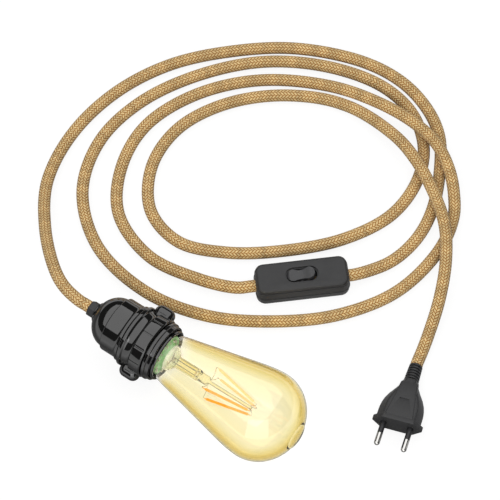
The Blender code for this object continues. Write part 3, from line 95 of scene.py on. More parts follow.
def material(name):
    """Starts a material, and hands it over with its node tree and its main shader."""
    made = bpy.data.materials.new(name)
    made.use_nodes = True
    return made, made.node_tree, made.node_tree.nodes["Principled BSDF"]


WHITE = colour("FFFFFF")
world = bpy.data.worlds.new("studio_sky")
scene.world = world
world.use_nodes = True
feed(world.node_tree, world.node_tree.nodes["Background"], {"Color": WHITE, "Strength": 0.06})

# Seamless paper: dead matt, and white to the eye and through glass. In mirror images the sheet carries painted
# shade close to the lamp, standing in for the shadow the lamp casts on it, and is pale from 90 mm away.
PAPER_SIZE, PAPER_DROP, PAPER_WHITE = 60.0, 0.0002, 0.88
DARK_WITHIN, PALE_BEYOND = 0.045, 0.09
paper, tree, _ = material("white_paper_floor")
tree.nodes.clear()
seen = add(tree, "ShaderNodeLightPath").outputs
place = add(tree, "ShaderNodeTexCoord").outputs["Object"]
across = add(tree, "ShaderNodeSeparateXYZ", {0: place}).outputs["Y"]
away = add(tree, "ShaderNodeMath", {0: across}, operation="ABSOLUTE")
# Painted shade: within 45 mm of the lamp's axis the sheet mirrors dark, rising to pale at 90 mm.
mirror_painted_shade = add(tree, "ShaderNodeMapRange", {
    "Value": away, "From Min": DARK_WITHIN, "From Max": PALE_BEYOND, "To Min": 0.05, "To Max": 0.8,
})
mirrored = add(tree, "ShaderNodeMath", {0: seen["Is Glossy Ray"], 1: mirror_painted_shade}, operation="MULTIPLY")
direct = add(tree, "ShaderNodeMath", {
    0: seen["Is Camera Ray"], 1: seen["Is Transmission Ray"],
}, operation="MAXIMUM")
shown = add(tree, "ShaderNodeMath", {0: direct, 1: mirrored}, operation="MAXIMUM")
brightness = add(tree, "ShaderNodeMapRange", {"Value": shown, "To Max": PAPER_WHITE})
sheet = add(tree, "ShaderNodeBsdfDiffuse", {"Color": colour("707070")})
glow = add(tree, "ShaderNodeEmission", {"Color": WHITE, "Strength": brightness})
both = add(tree, "ShaderNodeAddShader", {0: sheet, 1: glow})
add(tree, "ShaderNodeOutputMaterial", {"Surface": both})
bpy.ops.object.select_all(action="DESELECT")
bpy.ops.mesh.primitive_plane_add(size=PAPER_SIZE, location=(0.0, 0.0, -PAPER_DROP))
floor = bpy.context.object
floor.name = "floor"
floor.data.materials.append(paper)


def softbox(name, place, target, width, height, watts):
    """Hangs a rectangular soft box at a place, and aims it at a target."""
    bpy.ops.object.select_all(action="DESELECT")
    bpy.ops.object.light_add(type="AREA", location=place)
    lamp = bpy.context.object
    lamp.name = name
    lamp.data.shape = "RECTANGLE"
    lamp.data.size = width
    lamp.data.size_y = height
    lamp.data.energy = watts
    lamp.rotation_euler = (Vector(target) - Vector(place)).to_track_quat("-Z", "Y").to_euler()


softbox("key_box", (-0.5, 0.1, 2.3), (-0.5, 0.1, 0.0), 4.6, 7.2, 130.0)
softbox("fill_box", (1.1, -1.9, 1.0), (-0.03, 0.1, 0.0), 2.6, 2.2, 27.0)

# The braided cord: a golden textile sleeve over round flex, woven in six columns of chevrons round its
# 8.8 mm. It runs from the grip to the switch, and from the switch in three loops to the plug.
MM = 0.001
CORD_RADIUS = 4.4 * MM
STRAND_HEIGHT = 0.22 * MM
COLUMNS = 6
CHEVRON = 2.4 * MM
LEAN = 0.8
DIVE = 0.6
SIDES = 30
RING_STEP = CHEVRON / 3.5
CURVE_STEPS = 40
GRIP_END = Vector((-85.85, 0.0, 32.0)) * MM
SWITCH_MIDDLE = Vector((12.4, 110.75, 6.9)) * MM
SWITCH_ANGLE = math.radians(42.3)
SWITCH_AXIS = Vector((math.cos(SWITCH_ANGLE), math.sin(SWITCH_ANGLE), 0.0))
PLUG_FACE = Vector((129.2, 53.6, 12.0)) * MM
PLUG_TURN = Matrix.Rotation(math.radians(-71.5), 3, "Z") @ Matrix.Rotation(math.radians(-8.0), 3, "Y")
PLUG_AXIS = PLUG_TURN @ Vector((1.0, 0.0, 0.0))
lamp_route = [
    (-0.095, 0, 0.0318), (-0.110, 0.0035, 0.0298), (-0.125, 0.012, 0.0262), (-0.154, 0.039, 0.0162),
    (-0.179, 0.075, 0.0066), (-0.188, 0.116, 0.0044), (-0.183, 0.161, 0.0044), (-0.165, 0.202, 0.0044),
    (-0.135, 0.237, 0.0044), (-0.099, 0.265, 0.0044), (-0.054, 0.283, 0.0044), (-0.022, 0.285, 0.0044),
    (0.005, 0.277, 0.0044), (0.025, 0.263, 0.0044), (0.042, 0.238, 0.0044), (0.054, 0.211, 0.0044),
    (0.058, 0.190, 0.0044), (0.057, 0.172, 0.0044), (0.053, 0.158, 0.0045), (0.046, 0.145, 0.0056),
]
plug_route = [
    (-0.0219, 0.0803, 0.0066), (-0.0471, 0.0716, 0.0054), (-0.0857, 0.067, 0.0044), (-0.1227, 0.082, 0.0044),
    (-0.1436, 0.114, 0.0044), (-0.1493, 0.152, 0.0044), (-0.135, 0.193, 0.0044), (-0.104, 0.229, 0.0044),
    (-0.061, 0.252, 0.0060), (-0.023, 0.257, 0.0126), (0.007, 0.257, 0.0138), (0.029, 0.252, 0.0138),
    (0.048, 0.240, 0.0132), (0.061, 0.227, 0.0094), (0.070, 0.213, 0.0052), (0.076, 0.185, 0.0044),
    (0.070, 0.142, 0.0044), (0.047, 0.104, 0.0044), (0.013, 0.074, 0.0044), (-0.026, 0.052, 0.0044),
    (-0.071, 0.043, 0.0044), (-0.1194, 0.0527, 0.0044), (-0.1546, 0.0827, 0.0044), (-0.1687, 0.123, 0.0044),
    (-0.1637, 0.1652, 0.0044), (-0.143, 0.207, 0.0044), (-0.111, 0.243, 0.0044), (-0.070, 0.266, 0.0044),
    (-0.030, 0.274, 0.0044), (0.000, 0.267, 0.0044), (0.022, 0.248, 0.0044), (0.033, 0.222, 0.0044),
    (0.033, 0.190, 0.0044), (0.017, 0.156, 0.0044), (-0.011, 0.125, 0.0044), (-0.044, 0.100, 0.0044),
    (-0.076, 0.088, 0.0044), (-0.106, 0.097, 0.0044), (-0.1266, 0.127, 0.0044), (-0.1292, 0.163, 0.0044),
    (-0.113, 0.199, 0.0044), (-0.082, 0.229, 0.0044), (-0.043, 0.246, 0.0046), (0.000, 0.242, 0.0112),
    (0.024, 0.233, 0.0138), (0.048, 0.219, 0.0138), (0.070, 0.201, 0.0138), (0.087, 0.177, 0.0136),
    (0.0996, 0.1498, 0.0113), (0.1074, 0.1245, 0.0067), (0.1102, 0.1132, 0.0048),
]
# The straight ends lie in the grip, in the switch's two end walls and in the plug's relief. Their places are
# given in millimetres from the grip's end, the switch's middle and the plug's face.
IN_GRIP, OUT_OF_SWITCH, IN_SWITCH, IN_RELIEF, RELIEF_STRAIGHT = 4.0, 35.3, 24.3, 50.9, 3.0
relief_end = PLUG_FACE - PLUG_AXIS * IN_RELIEF * MM
grip_start = [GRIP_END + Vector((IN_GRIP * MM, 0, 0)), GRIP_END - Vector((IN_GRIP * MM, 0, 0))]
switch_in = [SWITCH_MIDDLE + SWITCH_AXIS * reach * MM for reach in (OUT_OF_SWITCH, IN_SWITCH)]
switch_out = [SWITCH_MIDDLE - SWITCH_AXIS * reach * MM for reach in (IN_SWITCH, OUT_OF_SWITCH)]
plug_end = [relief_end - PLUG_AXIS * RELIEF_STRAIGHT * MM, relief_end]
lamp_route = grip_start + [Vector(p) for p in lamp_route] + switch_in
plug_route = switch_out + [Vector(p) for p in plug_route] + plug_end


def evenly(route, step):
    """The centreline: a centripetal curve through the route's points, with straight ends, evenly spaced."""
    fine = [route[0]]
    for a, b, c, d in zip(route, route[1:], route[2:], route[3:]):
        t1 = (b - a).length ** 0.5
        t2 = t1 + (c - b).length ** 0.5
        t3 = t2 + (d - c).length ** 0.5
        for k in range(CURVE_STEPS):
            t = t1 + (t2 - t1) * k / CURVE_STEPS
            ab, bc, cd = a.lerp(b, t / t1), b.lerp(c, (t - t1) / (t2 - t1)), c.lerp(d, (t - t2) / (t3 - t2))
            fine.append(ab.lerp(bc, t / t2).lerp(bc.lerp(cd, (t - t1) / (t3 - t1)), (t - t1) / (t2 - t1)))
    fine += [route[-2], route[-1]]
    line = np.array([list(p) for p in fine])
    line[:, 2] = np.maximum(line[:, 2], CORD_RADIUS)
    along = np.concatenate([[0.0], np.cumsum(np.linalg.norm(np.diff(line, axis=0), axis=1))])
    wanted = np.linspace(0.0, along[-1], int(along[-1] / step) + 1)
    return np.stack([np.interp(wanted, along, line[:, i]) for i in range(3)], axis=1), wanted


def braid_relief(around, along):
    """Height of the yarn, 0 between two strands and 1 on top of one, at a share of the way round."""
    column = (around * COLUMNS) % 1.0
    across = np.abs(column - 0.5) * 2.0
    strand = (along / CHEVRON + LEAN * across + 0.5 * (column > 0.5)) % 1.0
    crown = np.sqrt(np.clip(1.0 - (2.0 * strand - 1.0) ** 2, 0.0, 1.0))
    dive = 1.0 - DIVE * np.clip(np.abs(2.0 * across - 1.0) * 3.0 - 2.0, 0.0, 1.0)
    return crown * dive


def braided(name, route):
    """A mesh tube along the route, with the strands standing up from it and a map that follows the weave."""
    points, along = evenly(route, RING_STEP)
    rows = len(points)
    ahead_of = np.gradient(points, axis=0)
    ahead_of /= np.linalg.norm(ahead_of, axis=1)[:, None]
    facing = -np.array(list(forward))
    out = facing - (ahead_of @ facing)[:, None] * ahead_of
    out /= np.linalg.norm(out, axis=1)[:, None]
    side = np.cross(ahead_of, out)
    share = np.arange(SIDES) / SIDES
    turn = (share - 0.5 / COLUMNS) * math.tau
    radius = CORD_RADIUS - STRAND_HEIGHT * (1.0 - braid_relief(share[None, :], along[:, None]))
    ring = np.cos(turn)[None, :, None] * out[:, None, :] + np.sin(turn)[None, :, None] * side[:, None, :]
    verts = (points[:, None, :] + ring * radius[:, :, None]).reshape(-1, 3)
    i = np.arange(rows - 1)[:, None] * SIDES
    j = np.arange(SIDES)[None, :]
    following = (j + 1) % SIDES
    quads = np.stack([i + j, i + following, i + SIDES + following, i + SIDES + j], axis=-1).reshape(-1, 4)
    caps = [list(range(SIDES))[::-1], list(range((rows - 1) * SIDES, rows * SIDES))]
    mesh = bpy.data.meshes.new(name)
    mesh.from_pydata(verts.tolist(), [], quads.tolist() + caps)
    u0 = np.broadcast_to(j / SIDES, (rows - 1, SIDES))
    u1 = u0 + 1.0 / SIDES
    v0 = np.broadcast_to(along[:-1, None] / CHEVRON, (rows - 1, SIDES))
    v1 = np.broadcast_to(along[1:, None] / CHEVRON, (rows - 1, SIDES))
    corners = np.stack([u0, v0, u1, v0, u1, v1, u0, v1], axis=-1).reshape(-1)
    flat = np.zeros(len(mesh.loops) * 2)
    flat[: len(corners)] = corners
    mesh.uv_layers.new(name="weave").data.foreach_set("uv", flat)
    mesh.shade_smooth()
    made = bpy.data.objects.new(name, mesh)
    scene.collection.objects.link(made)
    return made, points, float(along[-1])


# Dyed textile yarn: dull with a soft sheen, with a painted highlight on the crown of a strand and painted dark
# brown shade where it dives under the next. Its fibres lie along it, and no two strands have quite the same
# tint.
braid, tree, shader = material("golden_textile_braid")
weave = add(tree, "ShaderNodeUVMap", uv_map="weave")
weave = add(tree, "ShaderNodeSeparateXYZ", {0: weave}).outputs
column = add(tree, "ShaderNodeMath", {0: weave["X"], 1: COLUMNS}, operation="MULTIPLY")
column = add(tree, "ShaderNodeMath", {0: column}, operation="FRACT")
across = add(tree, "ShaderNodeMath", {0: column, 1: 0.5}, operation="SUBTRACT")
across = add(tree, "ShaderNodeMath", {0: across}, operation="ABSOLUTE")
across = add(tree, "ShaderNodeMath", {0: across, 1: 2.0}, operation="MULTIPLY")
half_pitch = add(tree, "ShaderNodeMath", {0: column, 1: 0.5}, operation="GREATER_THAN")
half_pitch = add(tree, "ShaderNodeMath", {0: half_pitch, 1: 0.5}, operation="MULTIPLY")
count = add(tree, "ShaderNodeMath", {0: across, 1: LEAN, 2: weave["Y"]}, operation="MULTIPLY_ADD")
count = add(tree, "ShaderNodeMath", {0: count, 1: half_pitch}, operation="ADD")
number = add(tree, "ShaderNodeMath", {0: count}, operation="FLOOR")
strand = add(tree, "ShaderNodeMath", {0: count}, operation="FRACT")
bow = add(tree, "ShaderNodeMath", {0: strand, 1: 2.0, 2: -1.0}, operation="MULTIPLY_ADD")
bow = add(tree, "ShaderNodeMath", {0: bow, 1: bow}, operation="MULTIPLY")
crown = add(tree, "ShaderNodeMath", {0: 1.0, 1: bow}, operation="SUBTRACT")
crown = add(tree, "ShaderNodeMath", {0: crown}, operation="SQRT")
edge = add(tree, "ShaderNodeMath", {0: across, 1: 2.0, 2: -1.0}, operation="MULTIPLY_ADD")
edge = add(tree, "ShaderNodeMath", {0: edge}, operation="ABSOLUTE")
dive = add(tree, "ShaderNodeMath", {0: edge, 1: 4.0, 2: -3.0}, operation="MULTIPLY_ADD")
dive = add(tree, "ShaderNodeMath", {0: dive, 1: 0.0}, operation="MAXIMUM")
dive = add(tree, "ShaderNodeMath", {0: dive, 1: DIVE}, operation="MULTIPLY")
dive = add(tree, "ShaderNodeMath", {0: 1.0, 1: dive}, operation="SUBTRACT")
height = add(tree, "ShaderNodeMath", {0: crown, 1: dive}, operation="MULTIPLY")
fibre_along = add(tree, "ShaderNodeMath", {0: strand, 1: 9.0}, operation="MULTIPLY")
fibre_across = add(tree, "ShaderNodeMath", {0: across, 1: 1.6}, operation="MULTIPLY")
fibre_place = add(tree, "ShaderNodeCombineXYZ", {0: fibre_along, 1: fibre_across, 2: number})
fibres = add(tree, "ShaderNodeTexNoise", {"Vector": fibre_place, "Scale": 1.0, "Detail": 3.0})
tint = add(tree, "ShaderNodeTexWhiteNoise", {"W": number}, noise_dimensions="1D")
shade = add(tree, "ShaderNodeMath", {0: tint, 1: 0.22, 2: 0.49}, operation="MULTIPLY_ADD")
shade = add(tree, "ShaderNodeMath", {0: fibres, 1: 0.25, 2: shade}, operation="MULTIPLY_ADD")
# Painted shade and highlight: the ramp runs from dark brown low between strands to pale cream on each crown.
yarn = add(tree, "ShaderNodeValToRGB", {"Fac": height}, [(0.3, "824410"), (0.62, "DA9A46"), (0.95, "FFE2A4")])
strand_tint_and_painted_shade = add(tree, "ShaderNodeVectorMath", {0: yarn, "Scale": shade}, operation="SCALE")
lift = add(tree, "ShaderNodeMath", {0: fibres, 1: 0.15, 2: height}, operation="MULTIPLY_ADD")
bump = add(tree, "ShaderNodeBump", {"Height": lift, "Strength": 0.7, "Distance": 0.35 * MM})
feed(tree, shader, {
    "Base Color": strand_tint_and_painted_shade, "Normal": bump, "Roughness": 0.85, "Sheen Weight": 0.25, "Sheen Roughness": 0.4,
})

lamp_cord, lamp_line, lamp_length = braided("lamp_cord_braid", lamp_route)
plug_cord, plug_line, plug_length = braided("plug_cord_braid", plug_route)
for cord, node in ((lamp_cord, "lamp_cord"), (plug_cord, "plug_cord")):
    cord.data.materials.append(braid)
    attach(cord, "body")
    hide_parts(node)

# The holder's lower shell: black phenolic, pressed in a polished mould, with a plain shoulder, a flange and a
# long outside thread for the rings.
MOUTH = -21.15
LAMP = Matrix.Translation((MOUTH * MM, 0.0, 32.0 * MM)) @ Matrix.Rotation(math.pi / 2, 4, "Y")


def only(piece):
    """Selects one piece and nothing else."""
    bpy.ops.object.select_all(action="DESELECT")
    piece.select_set(True)
    bpy.context.view_layer.objects.active = piece


def whole(piece):
    """Goes into edit mode with all of a piece selected."""
    only(piece)
    bpy.ops.object.mode_set(mode="EDIT")
    bpy.ops.mesh.select_all(action="SELECT")


def done():
    """Goes back to object mode."""
    bpy.ops.object.mode_set(mode="OBJECT")


def settle():
    """Puts the active piece's place, turn and scale into its mesh."""
    bpy.ops.object.transform_apply(location=True, rotation=True, scale=True)


def turned(name, profile, sides=96):
    """Draws a ring of edges from one (radius, height) station to the next, in millimetres. A station on the
    axis closes to a pole, and a profile that comes back to its start closes on itself."""
    bpy.ops.object.select_all(action="DESELECT")
    radius, height = profile[0]
    bpy.ops.mesh.primitive_circle_add(vertices=sides, radius=radius * MM, location=(0.0, 0.0, height * MM))
    made = bpy.context.object
    made.name = made.data.name = name
    settle()
    whole(made)
    for wider, further in profile[1:]:
        step = (0.0, 0.0, (further - height) * MM)
        bpy.ops.mesh.extrude_edges_move(TRANSFORM_OT_translate={"value": step})
        if wider > 0.0:
            scale = wider / radius
            bpy.ops.transform.resize(value=(scale, scale, 1.0), center_override=(0.0, 0.0, 0.0))
            radius = wider
        else:
            bpy.ops.mesh.merge(type="CENTER")
        height = further
    bpy.ops.mesh.select_all(action="SELECT")
    bpy.ops.mesh.remove_doubles(threshold=0.002 * MM)
    bpy.ops.mesh.normals_make_consistent(inside=False)
    done()
    return made


def soft_edges(piece, width, segments=3, limit=30.0):
    """Rounds every sharp edge, as a mould leaves it."""
    only(piece)
    step = piece.modifiers.new("edges", "BEVEL")
    step.width = width * MM
    step.segments = segments
    step.limit_method = "ANGLE"
    step.angle_limit = math.radians(limit)
    bpy.ops.object.modifier_apply(modifier=step.name)


def fitted(piece, place, finish, slot, *nodes, smooth=35.0):
    """Sets a finished piece in its place, in its mesh, and gives it its finish, its body and its nodes."""
    only(piece)
    piece.matrix_world = place @ piece.matrix_world
    settle()
    bpy.ops.object.shade_smooth_by_angle(angle=math.radians(smooth))
    piece.data.materials.clear()
    piece.data.materials.append(finish)
    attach(piece, "body")
    if nodes:
        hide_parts(*nodes)


# Pressed phenolic, polished by its mould: near black, with a clear hard gloss, a slow ripple in what it
# mirrors, and a film of dust that takes the gloss off here and there.
phenolic, tree, shader = material("polished_black_phenolic")
place = add(tree, "ShaderNodeTexCoord").outputs["Object"]
ripple = add(tree, "ShaderNodeTexNoise", {"Vector": place, "Scale": 130.0, "Detail": 2.0})
dust = add(tree, "ShaderNodeTexNoise", {"Vector": place, "Scale": 420.0, "Detail": 5.0})
gloss = add(tree, "ShaderNodeMapRange", {
    "Value": dust, "From Min": 0.45, "From Max": 0.8, "To Min": 0.05, "To Max": 0.15,
})
black = add(tree, "ShaderNodeValToRGB", {"Fac": dust}, [(0.0, "060606"), (1.0, "0E0D0C")])
wave = add(tree, "ShaderNodeBump", {"Height": ripple, "Strength": 0.1, "Distance": 0.4 * MM})
feed(tree, shader, {"Base Color": black, "Roughness": gloss, "Normal": wave, "IOR": 1.85})

THREAD_ROOT, THREAD_CREST, THREAD_START, THREAD_PITCH = 17.9, 18.7, -26.2, 3.0
thread = []
for turn in range(8):
    at = THREAD_START + THREAD_PITCH * turn
    thread += [(THREAD_ROOT, at), (THREAD_CREST, at + 0.7), (THREAD_CREST, at + 1.5), (THREAD_ROOT, at + 2.2)]
skirt = turned("holder_lower_shell", [
    (15.0, -47.3), (15.0, -42.9), (19.5, -42.9), (19.9, -42.5), (19.9, -32.7), (20.05, -31.5),
    (20.45, -30.6), (21.0, -30.3), (21.0, -28.3), (THREAD_ROOT, -28.3), *thread, (THREAD_ROOT, -2.4),
    (THREAD_CREST, -1.7), (THREAD_CREST, -0.6), (18.4, -0.15), (18.0, 0.0), (17.2, 0.0), (15.15, -5.2),
    (14.3, -7.0), (14.3, -36.4), (12.0, -36.4), (12.0, -37.4), (13.6, -37.4), (13.6, -47.3), (15.0, -47.3),
])
soft_edges(skirt, 0.2)
fitted(skirt, LAMP, phenolic, "phenolic", "holder_skirt")

# The holder's domed top: the same phenolic, pressed as a cap with a collar for the cord grip. It is screwed
# down on the lower shell, with a fine seam between them.
DOME_RADIUS, DOME_BASE, DOME_HEIGHT = 18.3, -43.3, 15.7
VAULT_TOP, VAULT_STEP = 66.5, 3.5
vault = []
for step in range(20):
    rise = math.radians(VAULT_TOP - VAULT_STEP * step)
    vault.append((DOME_RADIUS * math.cos(rise), DOME_BASE - DOME_HEIGHT * math.sin(rise)))
dome = turned("holder_dome_top", [
    (5.7, -56.8), (5.7, -59.0), (6.6, -59.0), (7.1, -58.6), *vault, (16.1, DOME_BASE), (15.6, -48.6),
    (13.4, -53.0), (9.4, -56.2), (5.7, -56.8),
])
soft_edges(dome, 0.15, limit=40.0)
fitted(dome, LAMP, phenolic, "phenolic", "holder_dome")

# The cord grip: a six-sided nut of matte grey nylon, injection moulded. It screws into the dome and closes
# on the cord. Its spark-eroded mould texture has pits of 0.1 mm, drawn at 0.35 mm so that they show.
nylon, tree, shader = material("matte_grey_nylon")
place = add(tree, "ShaderNodeTexCoord").outputs["Object"]
pits = add(tree, "ShaderNodeTexNoise", {"Vector": place, "Scale": 2800.0, "Detail": 3.0})
patches = add(tree, "ShaderNodeTexNoise", {"Vector": place, "Scale": 90.0, "Detail": 3.0})
grey = add(tree, "ShaderNodeValToRGB", {"Fac": patches}, [(0.0, "282829"), (1.0, "333334")])
sheen = add(tree, "ShaderNodeMapRange", {
    "Value": pits, "From Min": 0.3, "From Max": 0.7, "To Min": 0.42, "To Max": 0.6,
})
grain = add(tree, "ShaderNodeBump", {"Height": pits, "Strength": 0.25, "Distance": 0.1 * MM})
feed(tree, shader, {"Base Color": grey, "Roughness": sheen, "Normal": grain})
grip = turned("cord_grip_nut", [
    (4.85, -64.7), (5.5, -64.7), (6.0, -64.2), (6.0, -59.3), (4.85, -59.3), (4.85, -64.7),
], 6)
soft_edges(grip, 0.35)
fitted(grip, LAMP, nylon, "grip", "cord_grip")

# The shade ring: a deep phenolic ring nut with a rim band, a waist, a collar with twelve fine notches, and
# two rounded finger blocks to turn it by.
RING_TURN = Matrix.Rotation(math.radians(24.0), 4, "Z")
COLLAR_LOW, COLLAR_HIGH, COLLAR_RADIUS = -17.6, -9.8, 22.2
NOTCH_EVERY, NOTCH_FROM, NOTCH_TO, NOTCH_DEPTH = 30.0, 13.4, 16.4, 0.6
BLOCK_SIZE, BLOCK_REACH, BLOCK_HEIGHT, BLOCK_FOOT = (11.0, 8.6, 14.8), 23.3, -17.2, 19.5
ring = turned("shade_ring_nut", [
    (19.0, -27.5), (22.0, -27.5), (22.4, -27.1), (22.4, -25.2), (22.0, -24.8), (21.0, -24.1), (20.75, -23.0),
    (20.7, -20.8), (20.9, -19.2), (21.5, -18.1), (COLLAR_RADIUS, COLLAR_LOW), (COLLAR_RADIUS, COLLAR_HIGH),
    (21.5, -8.9), (20.6, -8.6), (19.0, -8.6), (19.0, -27.5),
], 120)


def pick(piece, kind, test):
    """Goes into edit mode with only those vertices, edges or faces selected that pass a test."""
    only(piece)
    kinds = ("vertices", "edges", "polygons")
    bpy.context.tool_settings.mesh_select_mode = [kind == each for each in kinds]
    for each in kinds:
        group = getattr(piece.data, each)
        group.foreach_set("select", [False] * len(group))
    for item in getattr(piece.data, kind):
        item.select = test(item)
    bpy.ops.object.mode_set(mode="EDIT")


def round_edges(piece, width, segments, test):
    """Bevels the edges whose two ends, in millimetres, pass a test."""
    points = piece.data.vertices
    pick(piece, "edges", lambda edge: test(*(points[i].co / MM for i in edge.vertices)))
    bpy.ops.mesh.bevel(offset=width * MM, segments=segments, affect="EDGES")
    done()


def same(one, other):
    """Whether two places along an axis are one place, to a hundredth of a millimetre."""
    return abs(one - other) < 0.01


def box(size, place, turn=0.0):
    """Starts from a box, in millimetres, turned about the upright through its middle."""
    bpy.ops.object.select_all(action="DESELECT")
    location = [value * MM for value in place]
    bpy.ops.mesh.primitive_cube_add(size=1.0, location=location, rotation=(0.0, 0.0, turn))
    made = bpy.context.object
    made.scale = [value * MM for value in size]
    settle()
    return made


def join(piece, *others):
    """Makes one mesh of several pieces."""
    only(piece)
    for other in others:
        other.select_set(True)
    bpy.ops.object.join()


def notch(face):
    """Whether a face lies on the collar's outside, in one of its notches."""
    where = face.center / MM
    step = math.degrees(math.atan2(where.y, where.x)) % NOTCH_EVERY
    outside = COLLAR_LOW < where.z < COLLAR_HIGH and where.xy.length > 21.5
    return outside and NOTCH_FROM < step < NOTCH_TO


pick(ring, "polygons", notch)
bpy.ops.mesh.inset(thickness=0.15 * MM, depth=-NOTCH_DEPTH * MM)
done()
soft_edges(ring, 0.18, 2)
blocks = []
for side in (1.0, -1.0):
    block = box(BLOCK_SIZE, (0.0, side * BLOCK_REACH, BLOCK_HEIGHT))
    round_edges(block, 4.8, 10, lambda a, b: min(abs(a.y), abs(b.y)) > BLOCK_REACH and a.x != b.x)
    round_edges(block, 5.3, 10, lambda a, b: same(a.x, b.x) and max(abs(a.y), abs(b.y)) > BLOCK_FOOT)
    blocks.append(block)
join(ring, *blocks)
fitted(ring, LAMP @ RING_TURN, phenolic, "phenolic", "shade_ring")

# The lock ring: a plain stepped ring nut of the same phenolic. It runs on the same thread, and clamps a
# shade against the ring above.
lock = turned("lock_ring_nut", [
    (19.0, -7.9), (21.1, -7.9), (21.4, -7.6), (21.4, -5.8), (21.1, -5.55), (20.4, -5.4), (20.4, -2.9),
    (20.1, -2.6), (19.0, -2.6), (19.0, -7.9),
], 120)
soft_edges(lock, 0.15)
fitted(lock, LAMP, phenolic, "phenolic", "lock_ring")

# The bulb's glass: one blown wall of amber soda glass, nine tenths of a millimetre thick, from the neck in
# the cap to a round end with a low mound on it.
WALL = 0.9
NECK, WIDEST = 12.2, 32.0
SLOPE = 10.5 / 48.0
CROWN_BASE, CROWN_HEIGHT, CROWN_SWEEP, CROWN_STEPS = 77.0, 29.2, 72.7, 22
MOUND_RADIUS, MOUND_TOP = 9.5, 107.0


def eased(start, end, first_slope, last_slope, count):
    """Stations (radius, height) on a smooth curve whose radius has the given slopes at its two ends."""
    (r0, h0), (r1, h1) = start, end
    span = h1 - h0
    way = []
    for k in range(1, count + 1):
        t = k / count
        radius = (2 * t**3 - 3 * t**2 + 1) * r0 + (t**3 - 2 * t**2 + t) * span * first_slope
        radius += (3 * t**2 - 2 * t**3) * r1 + (t**3 - t**2) * span * last_slope
        way.append((radius, h0 + t * span))
    return way


outside = [(NECK, -12.4), (NECK, -9.6)]
outside += eased((NECK, -9.6), (16.5, 0.4), 0.05, 0.30, 10)
outside += eased((16.5, 0.4), (19.3, 12.0), 0.30, SLOPE, 6)
outside += eased((19.3, 12.0), (29.8, 60.0), SLOPE, SLOPE, 6)
outside += eased((29.8, 60.0), (WIDEST, CROWN_BASE), SLOPE * 0.9, 0.0, 8)
for step in range(1, CROWN_STEPS + 1):
    rise = math.radians(CROWN_SWEEP * step / CROWN_STEPS)
    outside.append((WIDEST * math.cos(rise), CROWN_BASE + CROWN_HEIGHT * math.sin(rise)))
inside = []
for before, here, after in zip(outside[:1] + outside, outside, outside[1:] + outside[-1:]):
    along = Vector((after[0] - before[0], after[1] - before[1])).normalized()
    inside.append((here[0] - WALL * along.y, here[1] + WALL * along.x))
foot = outside[-1][1]
for rise in [math.radians(degrees) for degrees in range(10, 90, 10)]:
    radius, height = MOUND_RADIUS * math.cos(rise), foot + (MOUND_TOP - foot) * math.sin(rise)
    outside.append((radius, height))
    inside.append((radius * 0.93, height - WALL))
glass = turned("bulb_wall_outer", [*outside, (0.0, MOUND_TOP)])
lining = turned("bulb_wall_inner", [*inside, (0.0, MOUND_TOP - WALL)])
whole(lining)
bpy.ops.mesh.normals_make_consistent(inside=True)
done()
join(glass, lining)
pick(glass, "edges", lambda edge: False)
bpy.ops.mesh.select_non_manifold(extend=False)
bpy.ops.mesh.bridge_edge_loops()
done()


def blown_glass(name, shadow, ramp, bare, stained, clouded=None):
    """Blown glass, with a tint for its shadow and a ramp of tints from face on (0) to edge on (1); the ramp's
    stops near the edge carry painted reflection and painted shade. It is untinted up to one height above the
    holder's mouth, and tinted in full from another, in millimetres. Clouded glass lets only a share of the
    light straight through at its foot."""
    made, tree, shader = material(name)
    place = add(tree, "ShaderNodeTexCoord").outputs["Object"]
    height = add(tree, "ShaderNodeSeparateXYZ", {0: place}).outputs["X"]
    slant = add(tree, "ShaderNodeLayerWeight", {"Blend": 0.5}).outputs["Facing"]
    # The ramp's last stops are painted reflection and painted shade at the glass's edge.
    depth = add(tree, "ShaderNodeValToRGB", {"Fac": slant}, ramp)
    fade = add(tree, "ShaderNodeMapRange", {
        "Value": height, "From Min": (MOUTH + bare) * MM, "From Max": (MOUTH + stained) * MM,
    }, interpolation_type="SMOOTHSTEP")
    glass_tint_and_painted_edge = add(tree, "ShaderNodeMixRGB", {"Fac": fade, "Color1": colour("FDFDFA"), "Color2": depth})
    swirl = add(tree, "ShaderNodeTexNoise", {"Vector": place, "Scale": 45.0, "Detail": 2.0})
    wave = add(tree, "ShaderNodeBump", {"Height": swirl, "Strength": 0.08, "Distance": 0.6 * MM})
    feed(tree, shader, {
        "Base Color": glass_tint_and_painted_edge, "Normal": wave, "Roughness": 0.0, "IOR": 1.5, "Transmission Weight": 1.0,
    })
    if clouded:
        clear = add(tree, "ShaderNodeMapRange", {
            "Value": height, "From Min": -18.0 * MM, "From Max": -13.5 * MM, "To Min": clouded, "To Max": 1.0,
        })
        feed(tree, shader, {"Transmission Weight": clear})
    seen = add(tree, "ShaderNodeLightPath").outputs
    open_way = add(tree, "ShaderNodeBsdfTransparent", {"Color": colour(shadow)})
    through = add(tree, "ShaderNodeMixShader", {0: seen["Is Shadow Ray"], 1: shader, 2: open_way})
    feed(tree, tree.nodes["Material Output"], {"Surface": through})
    return made


# Amber glass: it takes the blue out of what shows through, and more so where the eye looks along the wall.
# A paler band near the edge is a painted reflection, and the dark brown at the very edge is painted shade.
amber = blown_glass("blown_amber_glass", "FFFCF2", [
    (0.0, "FFFBE6"), (0.3, "FEF7D6"), (0.45, "F6E8AC"), (0.58, "E4CC7A"), (0.7, "E0C87C"), (0.82, "EEDFA8"),
    (1.0, "8E764A"),
], 0.5, 11.0)
fitted(glass, LAMP, amber, "amber_glass", "bulb_glass", smooth=50.0)

